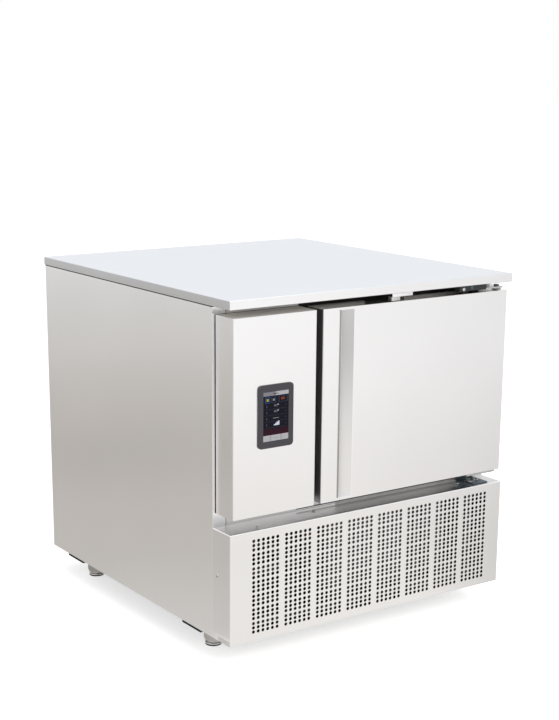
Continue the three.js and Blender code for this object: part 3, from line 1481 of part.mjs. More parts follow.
const SHROUD_BACK = CONDENSER.back + CLEARANCE + SHROUD_DEPTH;
const coolingFan = groupAt(chiller, CONDENSER.x, SHROUD_BACK + CONDENSER_FAN_BACK, CONDENSER.middle);
coolingFan.rotation.x = Math.PI / 2;
const coolingBlades = axialFan(CONDENSER_FAN_RADIUS, CONDENSER_HUB_LENGTH);
place(coolingFan, 'condenser_fan', coolingBlades, 'blackPlastic');
const coolingMotor = fanMotor(
  CONDENSER_MOTOR_LENGTH,
  CONDENSER_FAN_RADIUS + FAN_PORT_CLEARANCE + STRAP_WIDTH / 2,
  CONDENSER_FAN_BACK + FAN_MOTOR_GAP - CLEARANCE,
);
place(groupAt(coolingFan, 0, 0, -FAN_MOTOR_GAP), 'condenser_motor', coolingMotor, 'enamel');

const compressor = groupAt(chiller, COMPRESSOR.x, COMPRESSOR.y, COMPRESSOR.low);
place(compressor, 'compressor', compressorShell(), 'enamel');
place(groupAt(chiller, ...liquidRiser, PAN_FLOOR + CLEARANCE), 'liquid_receiver', receiver(), 'enamel');
place(groupAt(chiller, ...liquidRiser, DRIER_LOW), 'filter_drier', filterDrier(), 'copper');
place(chiller, 'discharge_pipe', dischargePipe(), 'copper');
place(chiller, 'receiver_pipe', receiverPipe(), 'copper');
place(chiller, 'liquid_pipe', liquidPipe(), 'copper');
place(chiller, 'suction_pipe', suctionPipe(), 'copper');
place(chiller, 'condensate_tray', condensateTray(), 'nylon');

export default chiller;
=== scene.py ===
# %% [markdown]
# # An undercounter blast chiller
#
# A blast chiller cools trays of cooked food quickly. This one is a stainless cabinet with a
# worktop, a thick insulated door on the right, a control box with a display on the left and, below
# them, the refrigeration unit behind a perforated grille. The CAD model fixes every size and every
# moving joint. This script loads it, gives each piece its finish, and remakes the pieces whose
# rounding, holes or fasteners are too fine for the solids.

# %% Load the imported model
import math

import bmesh
import bpy
from mathutils import Matrix, Vector


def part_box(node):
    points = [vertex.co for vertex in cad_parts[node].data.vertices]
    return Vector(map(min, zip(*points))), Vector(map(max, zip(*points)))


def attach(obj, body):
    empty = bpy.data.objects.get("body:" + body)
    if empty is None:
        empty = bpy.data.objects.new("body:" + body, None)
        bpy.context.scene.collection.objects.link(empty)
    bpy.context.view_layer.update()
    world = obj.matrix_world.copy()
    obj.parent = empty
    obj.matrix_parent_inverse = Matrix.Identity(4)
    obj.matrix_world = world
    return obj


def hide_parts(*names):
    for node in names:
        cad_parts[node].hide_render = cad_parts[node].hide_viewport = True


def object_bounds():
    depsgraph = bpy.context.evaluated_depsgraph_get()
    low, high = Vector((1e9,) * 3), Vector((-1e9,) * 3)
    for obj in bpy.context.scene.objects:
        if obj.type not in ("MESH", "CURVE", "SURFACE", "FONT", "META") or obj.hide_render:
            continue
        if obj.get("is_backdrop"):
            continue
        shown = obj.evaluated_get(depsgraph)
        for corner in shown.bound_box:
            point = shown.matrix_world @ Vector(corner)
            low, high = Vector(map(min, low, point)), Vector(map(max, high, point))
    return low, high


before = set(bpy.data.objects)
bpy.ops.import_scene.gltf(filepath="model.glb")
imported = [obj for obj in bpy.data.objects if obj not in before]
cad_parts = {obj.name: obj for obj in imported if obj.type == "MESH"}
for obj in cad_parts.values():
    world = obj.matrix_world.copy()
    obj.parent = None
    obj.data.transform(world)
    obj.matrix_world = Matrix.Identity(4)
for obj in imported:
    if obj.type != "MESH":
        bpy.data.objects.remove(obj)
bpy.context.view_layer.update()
MM = 0.001
scene = bpy.context.scene

# %% [markdown]
# ## The camera
#
# The picture was taken from in front and to the left, a little above the worktop. Parallel edges
# run to vanishing points, and from these the lens, the place and the turn of the camera were
# worked out. The upright edges stay nearly parallel while the cabinet sits low in the frame, as a
# shift lens does.

# %% Camera
lens = bpy.data.cameras.new("camera")
lens.lens = 73.13
lens.sensor_width = 36
lens.shift_x = 0.0268
lens.shift_y = 0.1119
camera = bpy.data.objects.new("camera", lens)
camera.location = (-2.04038, -2.95135, 1.30128)
camera.rotation_euler = [math.radians(angle) for angle in (75.6534, -0.2724, -34.2362)]
scene.collection.objects.link(camera)
scene.camera = camera
scene.view_settings.view_transform = "Standard"
print("camera", round(camera.location.length, 2), "m from the object")

# %% [markdown]
# ## Building a material from nodes
#
# Colours are written as the hex values a picture shows and turned to the linear values that the
# renderer mixes. One small function adds a node, sets what it is given and links whatever socket
# it is handed, so that each material below reads as a list of its layers.

# %% Colour and node helpers
def linear(hex_colour):
    """The linear colour of an sRGB hex value such as '#c0c0c0'."""
    channels = [int(hex_colour[i:i + 2], 16) / 255 for i in (1, 3, 5)]
    return [c / 12.92 if c <= 0.04045 else ((c + 0.055) / 1.055) ** 2.4 for c in channels] + [1.0]


def add(tree, kind, inputs=None, **settings):
    """A new shader node with its settings, and its inputs set to values or linked to sockets."""
    node = tree.nodes.new("ShaderNode" + kind)
    for name, value in settings.items():
        setattr(node, name, value)
    for name, value in (inputs or {}).items():
        if isinstance(value, bpy.types.NodeSocket):
            tree.links.new(value, node.inputs[name])
        else:
            node.inputs[name].default_value = value
    return node


def new_material(name, roughness, metallic=0.0):
    """A material with its shader, and the object coordinates its patterns read."""
    material = bpy.data.materials.new(name)
    material.use_nodes = True
    tree = material.node_tree
    shader = tree.nodes["Principled BSDF"]
    shader.inputs["Roughness"].default_value = roughness
    shader.inputs["Metallic"].default_value = metallic
    place = add(tree, "TexCoord").outputs["Object"]
    return material, tree, shader, place


print("white is", [round(c, 2) for c in linear("#ffffff")])

# %% [markdown]
# ## Brushed stainless steel
#
# Kitchen sheet is ground with a belt, which leaves fine scratches all in one direction. They are
# too fine to see one by one, but they blur every reflection across the grain and leave it sharper
# along it. That is what the shader's anisotropy does, once it is told which way the blur runs: the
# cross product of the surface's normal and the grain's direction. A noise that is drawn out along
# the grain varies the roughness and lifts the surface by a few microns, and a second, very broad
# noise gives the soft clouds that a wiped sheet shows.

# %% Steel material
GRAIN_ACROSS = 0.7 * MM  # real scratches are finer than 0.1 mm, drawn coarser so that they show
GRAIN_ALONG = 60 * MM
CLOUD_SIZE = 240 * MM
# Each direction leans a little, so that it is never square to a face.
GRAINS = {"x": (1.0, 0.05, 0.07), "y": (0.05, 1.0, 0.07), "z": (0.05, 0.07, 1.0)}


def brushed_steel(name, colour, cloud, roughness, grain):
    """Stainless steel with its grain along the axis 'x', 'y' or 'z'."""
    material, tree, shader, place = new_material(name, roughness, metallic=1.0)
    shader.inputs["Anisotropic"].default_value = 0.7
    normal = add(tree, "NewGeometry").outputs["Normal"]
    across = add(tree, "VectorMath", {0: normal, 1: GRAINS[grain]}, operation="CROSS_PRODUCT")
    tree.links.new(across.outputs["Vector"], shader.inputs["Tangent"])
    stretch = [1 / (GRAIN_ALONG if axis == grain else GRAIN_ACROSS) for axis in "xyz"]
    along = add(tree, "Mapping", {"Vector": place, "Scale": stretch})
    scratches = add(tree, "TexNoise", {"Vector": along.outputs[0], "Scale": 1.0, "Detail": 3.0})
    clouds = add(tree, "TexNoise", {"Vector": place, "Scale": 1 / CLOUD_SIZE, "Detail": 2.0})
    tone = add(tree, "Mix", {
        "Factor": clouds.outputs["Fac"], "A": linear(colour), "B": linear(cloud),
    }, data_type="RGBA")
    tree.links.new(tone.outputs["Result"], shader.inputs["Base Color"])
    matt = add(tree, "MapRange", {
        "Value": scratches.outputs["Fac"], "From Min": 0.3, "From Max": 0.7,
        "To Min": roughness - 0.01, "To Max": roughness + 0.01,
    })
    tree.links.new(matt.outputs["Result"], shader.inputs["Roughness"])
    relief = add(tree, "Bump", {
        "Height": scratches.outputs["Fac"], "Strength": 0.05, "Distance": 0.005 * MM,
    })
    tree.links.new(relief.outputs["Normal"], shader.inputs["Normal"])
    return material


# The worktop's blue tint is a painted reflection of the studio. The front is pale and even,
# and the sides are a little paler still: painted light.
worktop_steel = brushed_steel("worktop_steel", "#e4e8ee", "#e0e4ea", 0.24, "x")
front_steel = brushed_steel("front_steel", "#f3f2f2", "#eeeded", 0.26, "z")
side_steel = brushed_steel("side_steel", "#f8f7f7", "#f2f1f1", 0.26, "z")
# The worktop's side edges, the grille's top flange, the frame below the door and the feet's
# sleeves get darker, duller steels: painted shade.
edge_shade_steel = brushed_steel("edge_shade_steel", "#d3d3d4", "#cdcdce", 0.3, "z")
frame_shade_steel = brushed_steel("frame_shade_steel", "#cbc8c6", "#c3c0be", 0.3, "x")
sleeve_steel = brushed_steel("sleeve_steel", "#b6b4b1", "#abaaa7", 0.3, "z")
# The pull's slope is nearly as pale as the door, and its floor is darker: painted shade.
pull_shade_steel = brushed_steel("pull_shade_steel", "#f0efef", "#ebeaea", 0.26, "z")
floor_shade_steel = brushed_steel("pull_floor_steel", "#a8a6a5", "#a09e9d", 0.35, "z")
# The chamber's sheet, and the small bright pieces such as screws, brackets and racks.
liner_steel = brushed_steel("liner_steel", "#e6e5e4", "#dedddc", 0.28, "x")
bright_steel = brushed_steel("bright_steel", "#cfcfce", "#c2c2c1", 0.2, "x")
print("steels made:", worktop_steel.name, front_steel.name, side_steel.name)

# %% [markdown]
# ## Coated, cast and moulded finishes
#
# The other pieces fall into a few families. Galvanised sheet shows the crystals of its zinc, which
# a Voronoi pattern draws. Moulded plastic and rubber have a fine erosion texture from their tool.
# Foam shows its cells. Enamel is sprayed, so it ripples slightly like orange peel. Each is a
# colour with a little variation, and a grain of its own size.

# %% Grained material
def grained(name, colour, second, roughness, grain, height, metallic=0.0, cells=False):
    """A finish with a fine grain of the given size, raised by the given height."""
    material, tree, shader, place = new_material(name, roughness, metallic)
    if cells:
        pattern = add(tree, "TexVoronoi", {"Vector": place, "Scale": 1 / grain}).outputs["Distance"]
    else:
        pattern = add(tree, "TexNoise", {
            "Vector": place, "Scale": 1 / grain, "Detail": 4.0,
        }).outputs["Fac"]
    tone = add(tree, "Mix", {
        "Factor": pattern, "A": linear(colour), "B": linear(second),
    }, data_type="RGBA")
    tree.links.new(tone.outputs["Result"], shader.inputs["Base Color"])
    relief = add(tree, "Bump", {"Height": pattern, "Strength": 0.4, "Distance": height})
    tree.links.new(relief.outputs["Normal"], shader.inputs["Normal"])
    return material


# Zinc crystals are 9 mm across, and the cut cells of foam 1 mm.
zinc = grained("galvanised_sheet", "#b9bdbe", "#a3a8aa", 0.42, 9 * MM, 0.02 * MM, 1.0, cells=True)
foam = grained("polyurethane_foam", "#e8d8a4", "#d3bf85", 0.9, 1.2 * MM, 0.3 * MM)
# Soft vinyl and rubber hardly shine.
gasket_vinyl = grained("gasket_vinyl", "#434446", "#38393b", 0.55, 2 * MM, 0.05 * MM)
rubber = grained("moulded_rubber", "#222223", "#19191a", 0.75, 1.5 * MM, 0.08 * MM)
# Moulded plastics: near black in the joints, and dark grey round the display.
black_plastic = grained("black_moulded_plastic", "#242220", "#1c1a19", 0.5, 1.2 * MM, 0.05 * MM)
bezel_plastic = grained("dark_grey_bezel", "#413f45", "#39373d", 0.45, 1.0 * MM, 0.03 * MM)
# A pale sheet that paints the light reflected under the worktop, and a near black that paints
# shade in gaps and behind the grille.
painted_reflection_sheet = grained("painted_reflection_sheet", "#efebe8", "#e6e2df", 0.5, 6 * MM, 0.01 * MM, 0.2)
painted_shade = grained("dark_painted_shade", "#1b1a19", "#141312", 0.7, 3 * MM, 0.05 * MM)
# The board's lacquer is smooth, and drawn copper has faint waves.
board_lacquer = grained("circuit_board", "#1f6040", "#184a32", 0.4, 4 * MM, 0.05 * MM)
copper = grained("copper_tube", "#c47a4c", "#a9623a", 0.3, 14 * MM, 0.05 * MM, 1.0)
# Sprayed enamel ripples and plated steel is satin. The dull dark grey is the upper hinge block's
# paint and the base channels' colour, and on the pan and the grille's rail it is painted shade of
# the machine bay.
enamel = grained("black_enamel", "#1f2022", "#191a1c", 0.3, 5 * MM, 0.06 * MM)
hinge_zinc = grained("blue_zinc_plate", "#6c808a", "#56666e", 0.4, 3 * MM, 0.03 * MM, 0.4)
dark_paint_and_shade = grained("dark_paint_and_painted_shade", "#37383a", "#2f3032", 0.6, 2 * MM, 0.04 * MM)
# White nylon scatters light, so it has no sharp gloss.
nylon = grained("off_white_nylon", "#e2e0d8", "#d6d4cb", 0.5, 2 * MM, 0.04 * MM)
for dark in (black_plastic, painted_shade):  # deep in the joints, so that they show little gloss
    shader = dark.node_tree.nodes["Principled BSDF"]
    shader.inputs["Specular IOR Level"].default_value = 0.2
print("grained finishes made")

# %% [markdown]
# ## Aluminium fins
#
# Each heat exchanger is a pack of thin aluminium fins on copper tubes. From a few metres the pack
# reads as fine upright lines, so a wave pattern across it paints shade into the gaps and raises the
# fins.

# %% Fin material
FIN_PITCH = 3.2 * MM
WAVE = math.pi / 10  # the distance between a wave texture's lines at a scale of 1


def finned(name, across):
    """Aluminium with upright lines along the axis 'x' or 'y', one for each fin, painted shade
    between.
    """
    material, tree, shader, place = new_material(name, 0.4, metallic=0.9)
    lines = add(tree, "TexWave", {
        "Vector": place, "Scale": WAVE / FIN_PITCH, "Distortion": 0.2,
    }, wave_type="BANDS", bands_direction=across.upper(), wave_profile="SIN")
    # The darker colour paints the shade in the gaps between the fins.
    tone = add(tree, "Mix", {
        "Factor": lines.outputs["Fac"], "A": linear("#54585b"), "B": linear("#c2c6c8"),
    }, data_type="RGBA")
    tree.links.new(tone.outputs["Result"], shader.inputs["Base Color"])
    relief = add(tree, "Bump", {
        "Height": lines.outputs["Fac"], "Strength": 0.6, "Distance": 0.6 * MM,
    })
    tree.links.new(relief.outputs["Normal"], shader.inputs["Normal"])
    return material


evaporator_fins = finned("evaporator_fins", "y")
condenser_fins = finned("condenser_fins", "x")
print("fins every", FIN_PITCH / MM, "mm")

# %% [markdown]
# ## The display's glass
#
# The touch display is a sheet of glass over a dark screen: almost black, very smooth, with faint
# finger marks that only show in its gloss.

# %% Display glass
FINGER_MARK = 25 * MM
display_glass, tree, shader, place = new_material("display_glass", 0.08)
shader.inputs["IOR"].default_value = 1.52
shader.inputs["Specular IOR Level"].default_value = 0.1  # the glass has an anti-glare coat
smears = add(tree, "TexNoise", {"Vector": place, "Scale": 1 / FINGER_MARK, "Detail": 3.0})
gloss = add(tree, "MapRange", {
    "Value": smears.outputs["Fac"], "To Min": 0.05, "To Max": 0.14,
})
tree.links.new(gloss.outputs["Result"], shader.inputs["Roughness"])
depth = add(tree, "Mix", {
    "Factor": smears.outputs["Fac"], "A": linear("#0e0c1a"), "B": linear("#131120"),
}, data_type="RGBA")
tree.links.new(depth.outputs["Result"], shader.inputs["Base Color"])
print("glass made:", display_glass.name)

# %% [markdown]
# ## Finishes for the pieces that stay as they are
#
# Most solids already have their true shape. They keep it, and only their material slot changes.

# %% Give the CAD nodes their finishes
FINISHES = {
    liner_steel: ["chamber_liner", "fan_panel", "door_liner"],
    zinc: ["condenser_shroud"],
    # The pan and the rail behind the grille are dark: painted shade of the machine bay.
    dark_paint_and_shade: ["base_channel_front", "base_channel_rear", "grille_rail"],
    foam: ["foam_body", "door_core"],
    nylon: ["worktop_core", "drain_spigot", "condensate_tray"],
    gasket_vinyl: ["door_gasket"],
    board_lacquer: ["display_board", "power_board"],
    display_glass: ["display_glass"],
    evaporator_fins: ["evaporator_coil"],
    condenser_fins: ["condenser_coil"],
}
for material, nodes in FINISHES.items():
    for node in nodes:
        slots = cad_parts[node].data.materials
        slots.clear()
        slots.append(material)
print("finished nodes:", sum(len(nodes) for nodes in FINISHES.values()))

# %% [markdown]
# ## Making a piece
#
# A new piece goes from a bmesh to an object at the origin, with its place in its mesh. It rides on
# the body that carries it. Faces that meet at a small angle are shaded as one smooth surface, and
# sharper bends stay crisp.

# %% Piece helpers
SMOOTH_BELOW = math.radians(40)
FLAT_WITHIN = math.radians(0.5)
TOUCH = 0.01 * MM  # points closer than this are one


def make_piece(name, bm, material, body="cabinet", replaces=()):
    """The finished object of a bmesh, riding on a body in place of the nodes it replaces."""
    mesh = bpy.data.meshes.new(name)
    bm.to_mesh(mesh)
    bm.free()
    mesh.materials.append(material)
    mesh.shade_smooth()
    mesh.set_sharp_from_angle(angle=SMOOTH_BELOW)
    piece = bpy.data.objects.new(name, mesh)
    scene.collection.objects.link(piece)
    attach(piece, body)
    if replaces:
        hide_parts(*replaces)
    return piece


def merged_copy(node):
    """A node's mesh with its loose triangles welded and its flat faces joined."""
    bm = bmesh.new()
    bm.from_mesh(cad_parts[node].data)
    bmesh.ops.remove_doubles(bm, verts=bm.verts, dist=TOUCH)
    bmesh.ops.dissolve_limit(bm, angle_limit=FLAT_WITHIN, verts=bm.verts, edges=bm.edges)
    return bm


def flat_shaded(piece):
    """Keep broad faces flat up to their rounded edges, by weighting the normals by area."""
    weighted = piece.modifiers.new("flat", "WEIGHTED_NORMAL")
    weighted.mode = "FACE_AREA"
    weighted.keep_sharp = True
    return piece


# %% [markdown]
# ## Softened edges
#
# No real edge is perfectly sharp: a folded sheet has a bend radius and a moulding has a draft. The
# bright line that such a radius catches is what makes a sheet look folded and not cut from a
# block. A copy of the solid is welded, and its outer edges between broad faces are bevelled.

# %% Soften the folded and moulded pieces
SHARPER_THAN = math.radians(25)
BROAD = 3  # a face is broad when it is wider than this many radii
BEND_SEGMENTS = 3


def softened_copy(node, radius):
    """The mesh of a node with the edges between its broad faces rounded."""
    bm = merged_copy(node)

    def broad(face, edge):
        return face.calc_area() > BROAD * radius * edge.calc_length()

    edges = [
        edge for edge in bm.edges
        if len(edge.link_faces) == 2
        and edge.is_convex
        and edge.calc_face_angle() > SHARPER_THAN
        and all(broad(face, edge) for face in edge.link_faces)
    ]
    bmesh.ops.bevel(
        bm, geom=edges, offset=radius, offset_type="OFFSET", segments=BEND_SEGMENTS,
        profile=0.5, affect="EDGES", clamp_overlap=True, material=-1,
    )
    return bm


def softened(node, material, radius, body="cabinet"):
    """A piece that stands for a node, with rounded edges."""
    bm = softened_copy(node, radius)
    return flat_shaded(make_piece(f"soft_{node}", bm, material, body, [node]))


# Each node, its finish, the radius in mm and the body that it rides on.
SOFTENED = [
    ("display_bezel", bezel_plastic, 1.0, "cabinet"),
    ("back_panel", zinc, 0.8, "cabinet"),
    ("cable_gland", black_plastic, 0.6, "cabinet"),
    ("tray_rack_left", bright_steel, 0.4, "cabinet"),
    ("tray_rack_right", bright_steel, 0.4, "cabinet"),
    ("evaporator_motor_1", enamel, 0.8, "cabinet"),
    ("evaporator_motor_2", enamel, 0.8, "cabinet"),
    ("condenser_motor", enamel, 0.8, "cabinet"),
    ("evaporator_fan_1", black_plastic, 0.8, "evaporator_fan_1"),
    ("evaporator_fan_2", black_plastic, 0.8, "evaporator_fan_2"),
    ("condenser_fan", black_plastic, 0.8, "condenser_fan"),
    ("compressor", enamel, 1.0, "cabinet"),
    ("liquid_receiver", enamel, 1.0, "cabinet"),
    ("filter_drier", copper, 0.6, "cabinet"),
    ("hinge_bush_top", nylon, 0.5, "door"),
    ("hinge_bush_bottom", nylon, 0.5, "door"),
]
for node, material, radius, body in SOFTENED:
    softened(node, material, radius * MM, body)
print("softened pieces:", len(SOFTENED))

# %% [markdown]
# ## Faces with a finish of their own
#
# One folded sheet can carry more than one finish: the worktop's side edges get a darker steel,
# as painted shade, and a near black line paints the shadow where two sheets meet. The mesh is cut
# along a plane, and every face whose middle passes a test gets the second material.

# %% Cut a mesh and give some faces another finish
def cut_at(bm, axis, *places):
    """Cut a bmesh along planes square to the axis 0, 1 or 2, at places in mm."""
    for place in places:
        point = Vector((0, 0, 0))
        point[axis] = place * MM
        square = Vector((0, 0, 0))
        square[axis] = 1
        parts = bm.verts[:] + bm.edges[:] + bm.faces[:]
        bmesh.ops.bisect_plane(bm, geom=parts, plane_co=point, plane_no=square)


def finish_faces(bm, index, test):
    """Give the material of an index to the faces whose middle in mm and normal pass the test."""
    for face in bm.faces:
        if test(face.calc_center_median() / MM, face.normal):
            face.material_index = index


def many_finishes(name, bm, materials, node, body="cabinet"):
    """A flat shaded piece with several materials, that stands for a node."""
    piece = make_piece(name, bm, materials[0], body, [node])
    for material in materials[1:]:
        piece.data.materials.append(material)
    return flat_shaded(piece)


print("helpers for faces made")

# %% [markdown]
# ## The folded sheets
#
# The worktop's front and rear edges are as pale as the door, and its side edges are darker:
# painted shade. A near black line runs along the top of both side panels and behind the control
# cover, painted shadow under the worktop's edge and in the gap beside the cover. The base pan is
# dark grey, painted shade of the machine bay, with bare zinc on the faces that look to the front
# and the back. All of them keep the solid's shape, so a softened copy is enough.

# %% Worktop, side panels, control cover and base pan
PANEL_BEND = 1.5 * MM
COVER_BEND = 1.2 * MM
PAN_BEND = 0.8 * MM
SHADOW_TOP = 2.5  # mm of painted shadow at a side panel's top, under the worktop's edge
SHADOW_REAR = 2.4  # mm of painted shadow behind the control cover, in the gap beside it
FACING = 0.8  # the share of a normal along an axis past which a face looks that way

bm = softened_copy("worktop_skin", PANEL_BEND)
bm.normal_update()
finish_faces(bm, 1, lambda middle, normal: abs(normal.y) > FACING)
# The side edges get the darker edge steel: painted shade.
finish_faces(bm, 2, lambda middle, normal: abs(normal.x) > FACING)
many_finishes("folded_worktop", bm, [worktop_steel, front_steel, edge_shade_steel], "worktop_skin")

for side in ("left", "right"):
    node = f"side_panel_{side}"
    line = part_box(node)[1].z / MM - SHADOW_TOP
    bm = softened_copy(node, PANEL_BEND)
    cut_at(bm, 2, line)
    bm.normal_update()
    # The faces above the line are near black: painted shadow under the worktop's edge.
    finish_faces(bm, 1, lambda middle, normal: middle.z > line)
    many_finishes(f"folded_{node}", bm, [side_steel, painted_shade], node)

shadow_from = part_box("control_cover")[1].y / MM - SHADOW_REAR
bm = softened_copy("control_cover", COVER_BEND)
cut_at(bm, 1, shadow_from)
bm.normal_update()
# The cover's top face gets the pale sheet: painted reflection of the light under the worktop.
finish_faces(bm, 2, lambda middle, normal: normal.z > FACING)
# The faces behind the line are near black: painted shadow in the gap beside the cover.
finish_faces(bm, 1, lambda middle, normal: middle.y > shadow_from)
COVER_FINISHES = [front_steel, painted_shade, painted_reflection_sheet]
many_finishes("folded_control_cover", bm, COVER_FINISHES, "control_cover")

bm = softened_copy("base_pan", PAN_BEND)
bm.normal_update()
finish_faces(bm, 1, lambda middle, normal: abs(normal.y) > FACING)
many_finishes("folded_base_pan", bm, [dark_paint_and_shade, zinc], "base_pan")
print("sealant on the cover from y", round(shadow_from, 1))

# %% [markdown]
# ## The door and its pull
#
# The door has no handle of its own. Its sheet is folded into a channel down the whole height,
# behind a strip that the fingers reach round. The channel's slope faces the room and its floor
# lies in the strip's shade, so the floor gets a darker steel, and so does the door's left side,
# deep in the gap beside the control box.

# %% Door skin, with painted shade inside its pull
SQUARE = 0.9  # as FACING, for faces that look straight along an axis
SLOPE_LEAST = 0.3
SLOPE_FROM, FLOOR_FROM, PULL_BACK = 3, 8, 22  # depths in mm behind the door's face
SIDE_BAND = 1  # mm from the door's left side

bm = softened_copy("door_skin", COVER_BEND)
bm.normal_update()
door_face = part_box("door_skin")[0].y / MM
door_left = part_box("door_skin")[0].x / MM
# The slope gets a slightly darker steel: painted shade.
finish_faces(bm, 1, lambda middle, normal: (
    door_face + SLOPE_FROM < middle.y < door_face + PULL_BACK
    and -SQUARE < normal.y < -SLOPE_LEAST
))
# The floor and the door's left side get a darker steel still: painted shade.
finish_faces(bm, 2, lambda middle, normal: (
    door_face + FLOOR_FROM < middle.y < door_face + PULL_BACK and normal.y < -SQUARE
))
finish_faces(bm, 2, lambda middle, normal: (
    middle.x < door_left + SIDE_BAND and normal.x < -SQUARE
))
DOOR_FINISHES = [front_steel, pull_shade_steel, floor_shade_steel]
many_finishes("folded_door_skin", bm, DOOR_FINISHES, "door_skin", "door")
print("door's face at y", round(door_face))

# %% [markdown]
# ## The frame around the door
#
# The cold liner must not touch the warm outer sheet, so a profile of dark plastic lies around the
# chamber's mouth, and the door's seal closes on it. Its near black also paints the shade in the
# gaps beside, above and below the door. The strips of the frame above the cover and below the door
# are sheet again: pale above, a painted reflection, and darker below, painted shade.

# %% Front frame and its dark profile
# All places in mm.
PROFILE_LEFT = -172  # the dark profile's left end, and its lower and upper edges
PROFILE_LOW = 346
PROFILE_HIGH = 796
SHADE_LEFT = -60  # where the painted shade on the strip below the door starts
DOOR_SHADOW_BAND = (322, 324.5)  # a near black band just below the door: painted shadow of the gap
CLIP = (14, 94)  # a dark clip interrupts the painted light strip above the door
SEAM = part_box("front_frame")[0].x / MM + 1  # a dark line where the frame meets the side panel
bm = merged_copy("front_frame")
cut_at(bm, 0, SEAM, PROFILE_LEFT, SHADE_LEFT, *CLIP)
cut_at(bm, 2, PROFILE_LOW, PROFILE_HIGH, *DOOR_SHADOW_BAND)
bm.normal_update()
# Below the door the frame gets a darker steel: painted shade.
finish_faces(bm, 1, lambda middle, normal: middle.x > SHADE_LEFT and middle.z < PROFILE_LOW)
# The profile's near black also paints the shade in the gaps around the door.
finish_faces(bm, 2, lambda middle, normal: middle.x > PROFILE_LEFT and middle.z > PROFILE_LOW)
# The band just below the door is near black: painted shadow of the gap.
finish_faces(bm, 2, lambda middle, normal: (
    middle.x > PROFILE_LEFT and DOOR_SHADOW_BAND[0] < middle.z < DOOR_SHADOW_BAND[1]
))
# Above the profile the frame is pale: painted reflection of the light under the worktop.
finish_faces(bm, 3, lambda middle, normal: middle.z > PROFILE_HIGH)
finish_faces(bm, 2, lambda middle, normal: middle.x < SEAM)
finish_faces(bm, 2, lambda middle, normal: (
    CLIP[0] < middle.x < CLIP[1] and middle.z > PROFILE_HIGH
))
FRAME_FINISHES = [front_steel, frame_shade_steel, black_plastic, painted_reflection_sheet]
many_finishes("face_frame", bm, FRAME_FINISHES, "front_frame")
print("finishes of the frame:", len(FRAME_FINISHES))

# %% [markdown]
# ## The hinge brackets
#
# The door turns on a pin at its top and its bottom. Each pin is held by a bright folded bracket.
# The upper one carries a dark painted block with two bolts, just above the door. The lower one
# stands on a foot plate of zinc-plated steel, passivated to a blue grey.

# %% Blocks in a mesh
def add_block(bm, low, high, radius, index=0):
    """Add a block between two corners in mm to a bmesh, and round its edges."""
    verts = bmesh.ops.create_cube(bm, size=1)["verts"]
    for vert in verts:
        vert.co = [(b if c > 0 else a) * MM for a, b, c in zip(low, high, vert.co)]
    for face in {face for vert in verts for face in vert.link_faces}:
        face.material_index = index
    edges = list({edge for vert in verts for edge in vert.link_edges})
    bmesh.ops.bevel(
        bm, geom=edges, offset=radius * MM, offset_type="OFFSET", segments=BEND_SEGMENTS,
        profile=0.5, affect="EDGES", clamp_overlap=True, material=-1,
    )


# Each block's two corners and the radius of its edges, in mm.
HINGE_BLOCKS = {
    "top": [((247, -420, 795.2), (330, -400, 808.8), 1.5)],
    "bottom": [
        ((316, -419, 318.4), (362, -362, 320.4), 0.8),
        ((316, -364, 320), (362, -359.4, 345), 0.8),
    ],
}
BLOCK_FINISH = {"top": dark_paint_and_shade, "bottom": hinge_zinc}
for end, blocks in HINGE_BLOCKS.items():
    node = f"hinge_bracket_{end}"
    bm = softened_copy(node, 0.8 * MM)
    for low, high, radius in blocks:
        add_block(bm, low, high, radius, 1)
    many_finishes(f"bolted_{node}", bm, [bright_steel, BLOCK_FINISH[end]], node)
print("brackets:", len(HINGE_BLOCKS))

# %% [markdown]
# ## The door switch
#
# The fans stop when the door opens, so a small switch hangs above the door. A bright tab under the
# worktop's front edge carries it, with a black plug at its side.

# %% Door switch
bm = bmesh.new()
add_block(bm, (38, -429, 801.5), (97, -426.5, 809.9), 0.6)  # the tab
add_block(bm, (37, -427, 792.6), (62, -414, 801.6), 0.8, 1)  # the body
add_block(bm, (61.5, -426.5, 792.6), (74, -415, 798.5), 1.2, 2)  # the plug
switch = make_piece("door_switch", bm, front_steel)
for finish in (bright_steel, black_plastic):
    switch.data.materials.append(finish)
print("door switch", [round(size / MM) for size in switch.dimensions])

# %% [markdown]
# ## The perforated grille
#
# The grille is one sheet, punched with round holes of 8 mm and folded back on four sides. The
# holes stand in eight groups of six columns, and each column has seven sets of three. A grid is
# laid out with its lines at the edges of the holes' cells. Each cell is inset, its inner square is
# divided and pulled onto a circle, and the disc is taken out. A Solidify modifier then gives the
# sheet its thickness and each hole its wall.

# %% Perforated sheet
HOLE = 8 * MM
HOLE_MARGIN = 1.6 * MM  # from a cell's edge to the square that becomes the hole
HOLE_SIDES = 12
COLUMN_PITCH = 12.8 * MM
ROW_PITCH = 10 * MM
COLUMNS, ROWS, GROUPS, SETS = 6, 3, 8, 7
GROUP_PITCH = 88 * MM
SET_PITCH = 32 * MM
HOLES_SHIFT = 5 * MM  # the holes' field right of the panel's middle
SHEET = 1.2 * MM
BEND = 2.5 * MM
LOWER_RETURN = 71 * MM  # how far the sheet is folded back at its bottom

grille_low, grille_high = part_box("grille_panel")
grille_depth = grille_high.y - grille_low.y


def cell_lines(middle, groups, group_pitch, cells, cell_pitch):
    """The lines between the cells of evenly spaced groups."""
    lines = []
    for group in range(groups):
        centre = middle + (group - (groups - 1) / 2) * group_pitch
        lines += [centre + (cell - cells / 2) * cell_pitch for cell in range(cells + 1)]
    return lines


